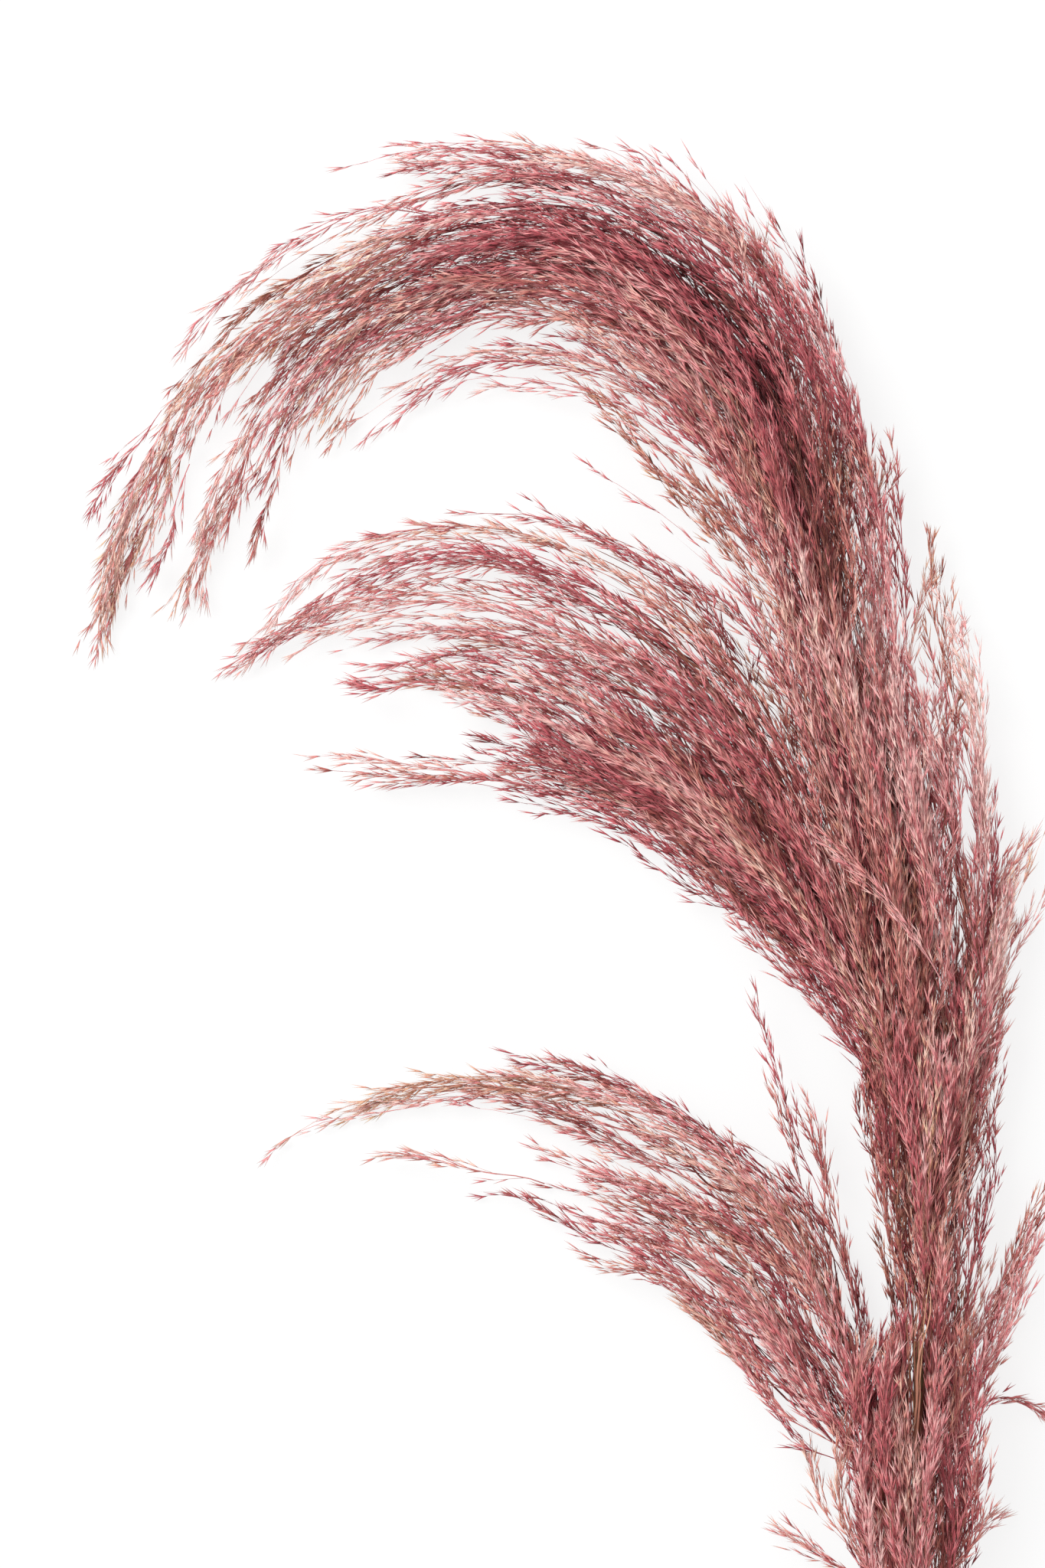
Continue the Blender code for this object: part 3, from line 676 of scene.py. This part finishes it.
def patched(grown):
    """The same growth, tinted by the patches of dye, painted shade and painted light that it roots in."""
    light, brown = grown.light.copy(), grown.brown.copy()
    for patch in DYE_AND_PAINTED_LIGHT_PATCHES:
        centre = on_plume(patch.column, patch.row)
        away = np.linalg.norm(grown.paths[:, 0, :2] - centre, axis=1) / (patch.radius * PIXEL)
        light += patch.lighter * np.exp(-(away**2))
        brown += patch.browner * np.exp(-(away**2))
    return Grown(grown.paths, light, brown)


# %% [markdown]
# Two numbers say all of the colour at every corner of every dart: how light it is, and how brown. They
# are stored as a UV map, so that a small painted square holds every colour of the plume, and an exported
# model can keep them too.

# %% Meshes that carry their tints
TINT_MAP = "OFBake"
LOWEST_CORNER = 0.0002
TINT_EDGE = 0.01  # tints stay this far inside the square
PLAIN_HEIGHT = 0.4  # where along a copy its lightness is its own
ACROSS = 0.03  # how much browner one side of a copy is than its middle


def tinted(shape, grown, radii, lighter, draw):
    """Grows the shape along every path, and gives each corner its two tints: lighter at the tip."""
    count = len(grown.paths)
    rolls = draw.normal(0, 1, (count, 3))
    places = grow(shape, grown.paths, draw.uniform(*radii, count), rolls)
    places[..., 2] = np.maximum(places[..., 2], LOWEST_CORNER)
    light = grown.light[:, None] + lighter * (shape.spots[:, 2] - PLAIN_HEIGHT)
    brown = grown.brown[:, None] + ACROSS * shape.spots[:, 0]
    return shape, places, light, brown


def feather_mesh(name, growths):
    """One mesh of many copies of a few shapes."""
    corners, triangles, tints, start = [], [], [], 0
    for shape, places, light, brown in growths:
        copies, each = places.shape[:2]
        corners.append(places.reshape(-1, 3))
        firsts = start + each * np.arange(copies)[:, None, None]
        triangles.append((shape.faces[None] + firsts).reshape(-1, 3))
        tints.append(np.stack([light, brown], axis=-1).reshape(-1, 2))
        start += copies * each
    corners, triangles = np.vstack(corners), np.vstack(triangles)
    tints = np.clip(np.vstack(tints), TINT_EDGE, 1 - TINT_EDGE)
    mesh = bpy.data.meshes.new(name)
    mesh.vertices.add(len(corners))
    mesh.vertices.foreach_set("co", corners.astype(np.float32).ravel())
    mesh.loops.add(triangles.size)
    mesh.loops.foreach_set("vertex_index", triangles.astype(np.int32).ravel())
    mesh.polygons.add(len(triangles))
    mesh.polygons.foreach_set("loop_start", np.arange(0, triangles.size, 3, dtype=np.int32))
    mesh.update(calc_edges=True)
    tint_map = mesh.uv_layers.new(name=TINT_MAP)
    tint_map.uv.foreach_set("vector", tints[triangles.ravel()].astype(np.float32).ravel())
    return mesh


# %% [markdown]
# Shader maths reads like plain sums here. A small class wraps a socket, and its operators add the Math
# nodes. Every other node comes from one method, which sets the node up before it fills the sockets.

# %% Sockets with operators
class Socket:
    def __init__(self, output):
        self.output = output
        self.tree = output.id_data

    @classmethod
    def of(cls, tree, kind, settings=None, values=None, output=0):
        """One output of a new node, whose sockets are given values or links by name or number."""
        node = tree.nodes.new(kind)
        for name, setting in (settings or {}).items():
            if name == "stops":
                set_stops(node.color_ramp, setting)
            else:
                setattr(node, name, setting)
        for name, value in (values or {}).items():
            if isinstance(value, cls):
                tree.links.new(value.output, node.inputs[name])
            else:
                node.inputs[name].default_value = value
        return cls(node.outputs[output])

    def math(self, operation, first, second):
        return Socket.of(self.tree, "ShaderNodeMath", {"operation": operation}, {0: first, 1: second})

    def __add__(self, other):
        return self.math("ADD", self, other)

    def __sub__(self, other):
        return self.math("SUBTRACT", self, other)

    def __rsub__(self, other):
        return self.math("SUBTRACT", other, self)

    def __mul__(self, other):
        return self.math("MULTIPLY", self, other)

    __radd__, __rmul__ = __add__, __mul__


def set_stops(ramp, stops):
    while len(ramp.elements) < len(stops):
        ramp.elements.new(0.5)
    for element, (place, colour) in zip(ramp.elements, stops):
        element.position = place
        element.color = (*colour, 1)


def new_material(name):
    material = bpy.data.materials.new(name)
    material.use_nodes = True
    return material, material.node_tree, material.node_tree.nodes["Principled BSDF"]


def feed(shader, name, socket):
    shader.id_data.links.new(socket.output, shader.inputs[name])


# %% [markdown]
# The papery scales scatter light like dry petals: matt, with a soft sheen at grazing angles. One ramp
# holds the dyed colours from maroon to pale pink, the other the undyed ones from umber to straw.

# %% Plume material
DYED = [
    (0.00, (0.090, 0.010, 0.013)),
    (0.22, (0.210, 0.028, 0.036)),
    (0.42, (0.440, 0.078, 0.098)),
    (0.62, (0.640, 0.178, 0.194)),
    (0.80, (0.770, 0.350, 0.350)),
    (1.00, (0.880, 0.600, 0.560)),
]
UNDYED = [
    (0.00, (0.075, 0.030, 0.014)),
    (0.25, (0.165, 0.070, 0.036)),
    (0.50, (0.380, 0.178, 0.096)),
    (0.75, (0.640, 0.380, 0.215)),
    (1.00, (0.850, 0.660, 0.460)),
]


def plume_material():
    material, tree, shader = new_material("dyed pampas")
    tint = Socket.of(tree, "ShaderNodeUVMap", {"uv_map": TINT_MAP})
    light = Socket.of(tree, "ShaderNodeSeparateXYZ", values={"Vector": tint})
    brown = Socket.of(tree, "ShaderNodeSeparateXYZ", values={"Vector": tint}, output=1)
    dyed = Socket.of(tree, "ShaderNodeValToRGB", {"stops": DYED}, {"Fac": light})
    undyed = Socket.of(tree, "ShaderNodeValToRGB", {"stops": UNDYED}, {"Fac": light})
    mixed = {0: brown, 6: dyed, 7: undyed}
    feed(shader, "Base Color", Socket.of(tree, "ShaderNodeMix", {"data_type": "RGBA"}, mixed, output=2))
    feed(shader, "Roughness", 0.92 - light * 0.22)
    shader.inputs["Sheen Weight"].default_value = 0.1
    shader.inputs["Sheen Roughness"].default_value = 0.5
    shader.inputs["Specular IOR Level"].default_value = 0.2
    return material


PLUME = plume_material()
print("material", PLUME.name)

# %% [markdown]
# Loose wisps break the outline all round. Each one is a short stream between two places of the
# photograph, bowed a little to one side.

# %% Loose wisps
Wisp = namedtuple("Wisp", "piece from_column from_row to_column to_row bow locks")
WISP_HEIGHTS = (0.030, 0.028, 0.023, 0.018)
WISP_HALF_WIDTHS = (0.003, 0.006, 0.006, 0.002)
PAST_TIP = 25  # pixels that spikelets reach past the tip of their strand
RIGHT_WISPS = (
    Wisp("side_wisps", 1118, 780, 1165, 580, 6, 1),
    Wisp("side_wisps", 1172, 960, 1222, 700, 12, 1),
    Wisp("side_wisps", 1190, 1060, 1240, 800, 14, 1),
    Wisp("side_wisps", 1215, 1160, 1262, 900, 14, 1),
    Wisp("side_wisps", 1240, 1340, 1362, 1050, 22, 1),
    Wisp("side_wisps", 1245, 1500, 1333, 1266, 18, 1),
    Wisp("side_wisps", 1245, 1610, 1322, 1364, 16, 1),
    Wisp("side_wisps", 1250, 1700, 1328, 1440, 16, 1),
)
TOP_WISPS = (
    Wisp("arch_wisps", 1040, 500, 1000, 300, 12, 1),
    Wisp("arch_wisps", 1085, 610, 1078, 400, 10, 1),
    Wisp("arch_tails", 215, 530, 105, 690, 8, 1),
    Wisp("arch_tails", 250, 600, 185, 765, 8, 1),
    Wisp("arch_tails", 345, 540, 248, 790, 12, 1),
    Wisp("arch_tails", 385, 545, 310, 725, 10, 1),
)
MIDDLE_WISPS = (
    Wisp("middle_lower", 700, 1028, 389, 988, 8, 2),
    Wisp("middle_arch", 560, 890, 446, 904, 6, 1),
)
LOWER_WISPS = (
    Wisp("lower_arch", 940, 1700, 748, 1631, 12, 1),
    Wisp("lower_arch", 1040, 1830, 908, 1710, 10, 1),
    Wisp("lower_arch", 720, 1550, 469, 1509, 16, 1),
)
FOOT_WISPS = (
    Wisp("foot_fan", 1150, 2080, 998, 1997, 14, 1),
    Wisp("foot_fan", 1110, 2030, 1040, 1885, 8, 1),
    Wisp("foot_fan", 1230, 2080, 1294, 1965, 8, 1),
)


def wisp_path(wisp):
    start = np.array(on_plume(wisp.from_column, wisp.from_row))
    end = np.array(on_plume(wisp.to_column, wisp.to_row))
    ahead = end - start
    ahead *= 1 - PAST_TIP * PIXEL / np.linalg.norm(ahead)
    aside = np.array([ahead[1], -ahead[0]]) / np.linalg.norm(ahead) * wisp.bow * PIXEL
    rows = []
    for t, height, wide in zip(np.linspace(0, 1, 4), WISP_HEIGHTS, WISP_HALF_WIDTHS):
        place = start + ahead * t + aside * 4 * t * (1 - t)
        rows.append((*place, height, wide))
    return rows


# %% [markdown]
# Now every stream is filled. Its record says how many locks it has, how long they are, where the last
# one roots, how fast they thin out towards the tip, how light and how brown they are, and how many
# finer strands each lock carries. A stream whose locks carry none stays bare, as stems.

# %% How each stream is filled
FILL_VALUES = "piece path locks shortest longest last_root thinning light brown fine"
Fill = namedtuple("Fill", FILL_VALUES, defaults=[3])
SPRAYS = {
    "crown_spray": (
        Fill("plume_base", BASE, 38, 0.090, 0.150, 0.80, 0.0, 0.45, 0.18),
        Fill("plume_body", BODY, 88, 0.100, 0.190, 0.70, 0.0, 0.43, 0.19),
        Fill("plume_body", CROSSING_STRAND, 1, 0.110, 0.110, 0.01, 0.0, 0.92, 0.02, 2),
        Fill("far_arch", ARCH_TO_FAR_TAIL, 144, 0.140, 0.260, 0.80, 1.20, 0.51, 0.08),
        Fill("near_arch", ARCH_TO_NEAR_TAIL, 78, 0.130, 0.240, 0.72, 1.20, 0.54, 0.06),
        Fill("arch_tails", ARCH_TO_FAR_TAIL[8:], 5, 0.150, 0.270, 0.55, 0.0, 0.62, 0.18, 2),
        Fill("arch_tails", ARCH_TO_FAR_TAIL[10:], 6, 0.110, 0.170, 0.55, 0.0, 0.64, 0.26, 1),
        Fill("arch_tails", BETWEEN_TAIL, 2, 0.120, 0.190, 0.45, 0.0, 0.66, 0.28, 1),
        Fill("arch_tails", ARCH_TO_NEAR_TAIL[6:], 5, 0.110, 0.190, 0.45, 0.0, 0.68, 0.26, 1),
        Fill("arch_tails", INNERMOST_TAIL, 3, 0.110, 0.160, 0.45, 0.3, 0.66, 0.30, 2),
        Fill("arch_wisps", INNER_WISP, 6, 0.150, 0.240, 0.60, 0.0, 0.52, 0.20),
        Fill("arch_wisps", SHORT_INNER_WISP, 5, 0.120, 0.220, 0.45, 0.5, 0.52, 0.20),
        Fill("arch_wisps", STRAY_WISP, 1, 0.230, 0.240, 0.01, 0.0, 0.54, 0.25, 2),
        Fill("arch_wisps", OUTER_WISP, 17, 0.130, 0.240, 0.72, 0.0, 0.52, 0.02),
        Fill("arch_wisps", SIDE_TIP, 3, 0.190, 0.240, 0.20, 0.0, 0.52, 0.08, 1),
        Fill("arch_wisps", TOP_TIP, 3, 0.170, 0.220, 0.20, 0.0, 0.52, 0.08, 1),
    ),
    "middle_spray": (
        Fill("middle_arch", MIDDLE_ARCH, 54, 0.150, 0.290, 0.66, 1.4, 0.50, 0.18),
        Fill("middle_arch", MIDDLE_ARCH[4:], 6, 0.150, 0.220, 0.50, 0.0, 0.56, 0.12, 1),
        Fill("middle_arch", MIDDLE_INNER, 6, 0.130, 0.200, 0.40, 0.0, 0.56, 0.12, 1),
        Fill("middle_lower", MIDDLE_ROOT, 34, 0.100, 0.170, 0.62, 0.0, 0.43, 0.13),
        Fill("middle_lower", MIDDLE_BETWEEN, 13, 0.130, 0.240, 0.55, 0.5, 0.53, 0.14),
        Fill("middle_lower", MIDDLE_LOWER_ARCH, 38, 0.120, 0.230, 0.62, 1.0, 0.50, 0.16),
        Fill("middle_lower", MIDDLE_LAST_WISP, 9, 0.130, 0.240, 0.50, 0.6, 0.52, 0.20),
        Fill("middle_lower", MIDDLE_LOW, 10, 0.110, 0.180, 0.50, 0.3, 0.52, 0.12, 2),
    ),
    "lower_spray": (
        Fill("lower_arch", LOWER_ARCH, 24, 0.130, 0.270, 0.64, 1.1, 0.52, 0.28),
        Fill("lower_arch", LOWER_ARCH[5:], 3, 0.120, 0.200, 0.50, 0.0, 0.56, 0.28, 1),
        Fill("lower_arch", LOWER_TOP_WISP, 3, 0.110, 0.170, 0.50, 0.0, 0.54, 0.28, 2),
        Fill("lower_arch", LOWER_LAST_WISP[:6], 17, 0.100, 0.170, 0.55, 0.6, 0.52, 0.14),
        Fill("lower_arch", LOWER_LAST_WISP[3:], 3, 0.110, 0.190, 0.35, 0.0, 0.54, 0.20, 1),
        Fill("lower_arch", LOWER_BETWEEN, 9, 0.110, 0.180, 0.50, 0.3, 0.54, 0.18, 2),
        Fill("lower_arch", UPRIGHT_WISP, 4, 0.100, 0.150, 0.40, 0.0, 0.54, 0.28, 1),
    ),
    "right_spray": (
        Fill("right_fan", RIGHT_SPRAY, 8, 0.090, 0.170, 0.50, 0.5, 0.52, 0.14),
        Fill("right_fan", RIGHT_LOW_WISP, 1, 0.060, 0.060, 0.10, 0.0, 0.52, 0.30, 1),
    ),
    "side_spray": (
        # lighter than the other sprays: painted light on a side that the lamp leaves in shade
        Fill("side_wisps", SIDE_SPRAY, 12, 0.110, 0.190, 0.50, 0.3, 0.60, 0.14),
        Fill("side_wisps", SIDE_UPPER_WISP, 9, 0.110, 0.190, 0.52, 0.3, 0.60, 0.16),
    ),
    "foot_spray": (
        Fill("foot_fan", FOOT, 68, 0.060, 0.125, 0.68, 0.3, 0.47, 0.10),
        Fill("foot_fan", BARE_STEMS, 11, 0.070, 0.110, 0.40, 0.0, 0.36, 0.85, 0),
    ),
}

# %% [markdown]
# Between the locks one sees into the shade. Without something there a dense spray looks hollow, and
# filling it with more feathers would make it a solid brush. So each dense stream also gets some dark
# bare stems, low down and in its middle: dark things put in the gaps as painted shade, for the shaded
# spikelets deeper in. Each row names a piece, its stream, how many stems run there, and how brown they are.

# %% Bare stems
STEM_SINKS = 0.010  # stems lie this much lower than the middle of their stream
STEM_SHARE = 0.62  # of the stream's width that stems fill
# the stems' low light is painted shade
STEM_VALUES = (0.110, 0.200, 0.80, 0.0, 0.34)  # shortest, longest, last root, thinning, light
STEMS = {
    "crown_spray": (
        ("plume_base", BASE, 34, 0.45),
        ("plume_body", BODY, 60, 0.30),
        ("far_arch", ARCH_TO_FAR_TAIL[:9], 90, 0.10),
        ("near_arch", ARCH_TO_NEAR_TAIL[:6], 40, 0.15),
    ),
    "middle_spray": (
        ("middle_arch", MIDDLE_ARCH[:6], 44, 0.45),
        ("middle_lower", MIDDLE_LOWER_ARCH[:5], 30, 0.35),
        ("middle_lower", MIDDLE_ROOT[:6], 24, 0.35),
    ),
    "lower_spray": (
        ("lower_arch", LOWER_ARCH[:6], 22, 0.40),
        ("lower_arch", LOWER_LAST_WISP[:5], 20, 0.30),
    ),
    "foot_spray": (("foot_fan", FOOT, 60, 0.25),),
}


def stems_of(piece, path, count, brown):
    """How one stream is filled with stems."""
    rows = [(x, y, height - STEM_SINKS, wide * STEM_SHARE) for x, y, height, wide in path]
    return Fill(piece, rows, count, *STEM_VALUES, brown, 0)


print("bare stems", sum(row[2] for rows in STEMS.values() for row in rows))

# %% [markdown]
# A lock is its middle strand with a few thinner strands. All of them carry branchlets, and strands and
# branchlets carry spikelets up to their tips. A spikelet is 9 to 15 mm long and about 1 mm wide.

# %% Grow one stream
THIN_STRANDS = Growth(3, (0.03, 0.60), (0.050, 0.100), (3, 9), 0.4, 0.35, THIN_STEPS, 1.03)
BRANCHLETS = Growth(6, (0.04, 0.96), (0.015, 0.034), (8, 22), 0.4, 0.50, 1, 1.15)
ON_BRANCHLET = Growth(3, (0.25, 1.05), (0.0095, 0.0150), (6, 22), 0.5, 0.10, 1, 3.0)
ON_STRAND = Growth(5, (0.10, 1.02), (0.0095, 0.0150), (6, 22), 0.5, 0.10, 1, 3.0)
Look = namedtuple("Look", "radii lighter")  # and how much lighter a tip is than a root
STEM_LOOK = Look((0.00050, 0.00100), 0.10)
STRAND_LOOK = Look((0.00024, 0.00038), 0.10)
BRANCHLET_LOOK = Look((0.00014, 0.00022), 0.05)
SPIKELET_LOOK = Look((0.00042, 0.00062), 0.46)


def both(some, more):
    """Two lots of paths of one length, as one."""
    return Grown(*(np.concatenate(pair) for pair in zip(some, more)))


def grow_fill(fill, draw):
    """The threads and the spikelets of one stream."""
    locks = locks_of(fill, draw)
    if not fill.fine:
        return [tinted(STRAND, locks, *STEM_LOOK, draw)], []
    thin = sprout(locks, THIN_STRANDS._replace(each=fill.fine), draw)
    lines, darts = [], []
    for strands, shape in ((locks, STRAND), (thin, THIN_STRAND)):
        twigs = sprout(strands, BRANCHLETS, draw)
        spikelets = both(sprout(twigs, ON_BRANCHLET, draw), sprout(strands, ON_STRAND, draw))
        lines.append(tinted(shape, patched(strands), *STRAND_LOOK, draw))
        lines.append(tinted(BRANCHLET, patched(off_the_cane(twigs)), *BRANCHLET_LOOK, draw))
        darts.append(tinted(SPIKELET, patched(off_the_cane(spikelets)), *SPIKELET_LOOK, draw))
    return lines, darts


print("a strand carries", BRANCHLETS.each * ON_BRANCHLET.each + ON_STRAND.each, "spikelets")

# %% [markdown]
# Every spray becomes a few pieces, each with its threads and its spikelets apart, because one mesh of
# everything would be too heavy to handle. A piece takes the place of its spray's plain solid. Each stream
# draws from a generator of its own, so a change to one leaves the others as they are.

# %% Grow every spray
WISPS = {
    "crown_spray": TOP_WISPS,
    "middle_spray": MIDDLE_WISPS,
    "lower_spray": LOWER_WISPS,
    "side_spray": RIGHT_WISPS,
    "foot_spray": FOOT_WISPS,
}
# Shortest and longest strand, last root, thinning, light, brown and fine strands of every loose wisp.
WISP_VALUES = (0.120, 0.190, 0.08, 0.0, 0.54, 0.20, 1)


def fills_of(node):
    """Everything that fills the streams of one spray."""
    wisps = [Fill(wisp.piece, wisp_path(wisp), wisp.locks, *WISP_VALUES) for wisp in WISPS.get(node, ())]
    stems = [stems_of(*row) for row in STEMS.get(node, ())]
    return [*SPRAYS[node], *wisps, *stems]


def make_piece(name, growths, node):
    """One piece of the plume, in place of its spray's solid, and the number of its triangles."""
    piece = bpy.data.objects.new(name, feather_mesh(name, growths))
    piece.data.materials.append(PLUME)
    bpy.context.collection.objects.link(piece)
    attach(piece, "root")
    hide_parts(node)
    print(name, len(piece.data.polygons), "triangles")
    return len(piece.data.polygons)


total = 0
for node in SPRAYS:
    lines, darts = {}, {}
    for number, fill in enumerate(fills_of(node)):
        draw = np.random.default_rng([number, len(node), fill.locks])
        some_lines, some_darts = grow_fill(fill, draw)
        lines.setdefault(fill.piece, []).extend(some_lines)
        darts.setdefault(fill.piece, []).extend(some_darts)
    for piece in lines:
        total += make_piece(piece + "_branchlets", lines[piece], node)
        total += make_piece(piece + "_spikelets", darts[piece], node)
print("the plume has", total, "triangles")

# %% [markdown]
# The cane is a stiff stem, ribbed lengthwise and cut square, with a hard rim round soft pith that has
# sunk a little. A bevelled curve would be the quick way, but its outline is round. So it starts as a
# circle whose corners lie in and out in turn, which is pushed up ring by ring and then bent along the
# cane's path. The cut end is one inset and one push inwards.

# %% Cane shape
CANE_PATH = (  # x, y, height of the middle, radius
    (0.000, -0.012, 0.0031, 0.0035),
    (0.000, 0.012, 0.0031, 0.0035),
    (0.000, 0.050, 0.0048, 0.0034),
    (0.001, 0.110, 0.0120, 0.0033),
    (0.002, 0.170, 0.0210, 0.0032),
    (0.003, 0.230, 0.0275, 0.0031),
    (0.002, 0.284, 0.0300, 0.0030),
)
CANE_RIBS = 15
CANE_RINGS = 60
GROOVE = 0.93  # radius in a groove, as a share of the radius on a rib
RIM = 0.16  # width of the rim of the cut end, as a share of the radius
PITH_SUNK = 0.0012


def cane_body(length):
    """The cane as a straight prism one unit high and two wide, with its cut end at the bottom."""
    body = bmesh.new()
    ring = bmesh.ops.create_circle(body, cap_ends=True, segments=2 * CANE_RIBS, radius=1)["verts"]
    for corner in ring[::2]:
        corner.co *= GROOVE
    edges = body.edges[:]
    for _ in range(CANE_RINGS):
        made = bmesh.ops.extrude_edge_only(body, edges=edges)["geom"]
        ring = [part for part in made if isinstance(part, bmesh.types.BMVert)]
        edges = [part for part in made if isinstance(part, bmesh.types.BMEdge)]
        bmesh.ops.translate(body, verts=ring, vec=(0, 0, 1 / CANE_RINGS))
    bmesh.ops.holes_fill(body, edges=edges)
    cut = min(body.faces, key=lambda face: face.calc_center_median().z)
    bmesh.ops.inset_individual(body, faces=[cut], thickness=RIM)
    bmesh.ops.translate(body, verts=cut.verts[:], vec=(0, 0, PITH_SUNK / length))
    bmesh.ops.recalc_face_normals(body, faces=body.faces)
    return body


def bend_along(body, stream):
    """Lays a straight body along a stream, as thick as the stream is wide."""
    path = stream.at(np.linspace(0, 1, CANE_RINGS + 1))
    spots = np.array([corner.co for corner in body.verts])
    radii = np.interp(spots[:, 2], stream.shares, stream.line[:, 3])
    spots[:, :2] *= radii[:, None]
    places = grow(Shape(spots, None), path[None, :, :3], np.ones(1), UP[None])[0]
    for corner, place in zip(body.verts, places):
        corner.co = (place[0], place[1], max(place[2], 0))


cane_stream = Stream(CANE_PATH)
cane_made = cane_body(cane_stream.length)
bend_along(cane_made, cane_stream)
cane_mesh = bpy.data.meshes.new("cane")
cane_made.to_mesh(cane_mesh)
cane_made.free()
cane = bpy.data.objects.new("cane", cane_mesh)
bpy.context.collection.objects.link(cane)
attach(cane, "root")
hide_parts("stalk")
print("the cane has", len(cane_mesh.polygons), "faces over", round(cane_stream.length, 3), "m")

# %% [markdown]
# The cane is dry straw with fibres that run lengthwise, paler and browner by turns. Noise that is
# stretched a hundredfold along the cane gives the fibres, and a broad noise gives the stains.

# %% Cane material
CANE = [
    (0.30, (0.120, 0.072, 0.032)),
    (0.46, (0.300, 0.205, 0.095)),
    (0.60, (0.500, 0.380, 0.190)),
    (0.76, (0.640, 0.530, 0.320)),
]
FIBRE_SCALE = (1500, 16, 1500)  # waves over a metre
STAIN_SCALE = 60.0
FIBRE_HEIGHT = 0.0002


def cane_material():
    material, tree, shader = new_material("dry cane")
    place = Socket.of(tree, "ShaderNodeTexCoord", output=3)
    drawn_out = Socket.of(tree, "ShaderNodeMapping", values={"Vector": place, "Scale": FIBRE_SCALE})
    fibre = Socket.of(tree, "ShaderNodeTexNoise", values={"Vector": drawn_out, "Scale": 1.0, "Detail": 3.0})
    stained = {"Vector": place, "Scale": STAIN_SCALE, "Detail": 2.0}
    stain = Socket.of(tree, "ShaderNodeTexNoise", values=stained)
    mixed = fibre * 0.7 + stain * 0.3
    colour = Socket.of(tree, "ShaderNodeValToRGB", {"stops": CANE}, {"Fac": mixed})
    raised = {"Height": fibre, "Strength": 0.4, "Distance": FIBRE_HEIGHT}
    bump = Socket.of(tree, "ShaderNodeBump", values=raised)
    feed(shader, "Base Color", colour)
    feed(shader, "Normal", bump)
    shader.inputs["Roughness"].default_value = 0.6
    return material


cane.data.materials.append(cane_material())
print("material", cane.data.materials[0].name)

# %% [markdown]
# The light is what a white studio gives: an even dome from every side, and a large soft lamp from the
# upper left that models the strands. The photograph's ground is white right up to the feathers. A floor
# that is white by its colour alone would turn grey in the plume's shadow. So this one is grey and glows,
# which leaves only a faint soft shadow.

# %% Floor and light
FLOOR_SIZE = 12.0
FLOOR_GREY = (0.16, 0.16, 0.16, 1)
FLOOR_GLOW = 0.80
WHITE = (1, 1, 1, 1)
DOME_STRENGTH = 0.9
LAMP_SIZE, LAMP_POWER = 2.0, 90
LAMP_ASIDE = (-1.6, 1.3)  # from the middle of the picture
LAMP_HEIGHT = 2.6

floor_body = bmesh.new()
bmesh.ops.create_grid(floor_body, x_segments=1, y_segments=1, size=FLOOR_SIZE / 2)
floor_mesh = bpy.data.meshes.new("floor")
floor_body.to_mesh(floor_mesh)
floor_body.free()
floor = bpy.data.objects.new("floor", floor_mesh)
bpy.context.collection.objects.link(floor)
floor_material, floor_tree, floor_shader = new_material("pale floor")
floor_shader.inputs["Base Color"].default_value = FLOOR_GREY
floor_shader.inputs["Roughness"].default_value = 0.9
floor_shader.inputs["Specular IOR Level"].default_value = 0.0
floor_shader.inputs["Emission Color"].default_value = WHITE
floor_shader.inputs["Emission Strength"].default_value = FLOOR_GLOW
floor.data.materials.append(floor_material)

world = bpy.data.worlds.new("studio")
world.use_nodes = True
dome = world.node_tree.nodes["Background"]
dome.inputs["Color"].default_value = WHITE
dome.inputs["Strength"].default_value = DOME_STRENGTH
bpy.context.scene.world = world

lamp_data = bpy.data.lights.new("soft lamp", "AREA")
lamp_data.shape = "DISK"
lamp_data.size = LAMP_SIZE
lamp_data.energy = LAMP_POWER
lamp = bpy.data.objects.new("soft lamp", lamp_data)
lamp.location = (middle_x + LAMP_ASIDE[0], middle_y + LAMP_ASIDE[1], LAMP_HEIGHT)
aim = Vector((middle_x, middle_y, 0)) - Vector(lamp.location)
lamp.rotation_euler = aim.to_track_quat("-Z", "Y").to_euler()
bpy.context.collection.objects.link(lamp)
bpy.context.scene.view_settings.view_transform = "Standard"
print("floor, dome and lamp are in place")
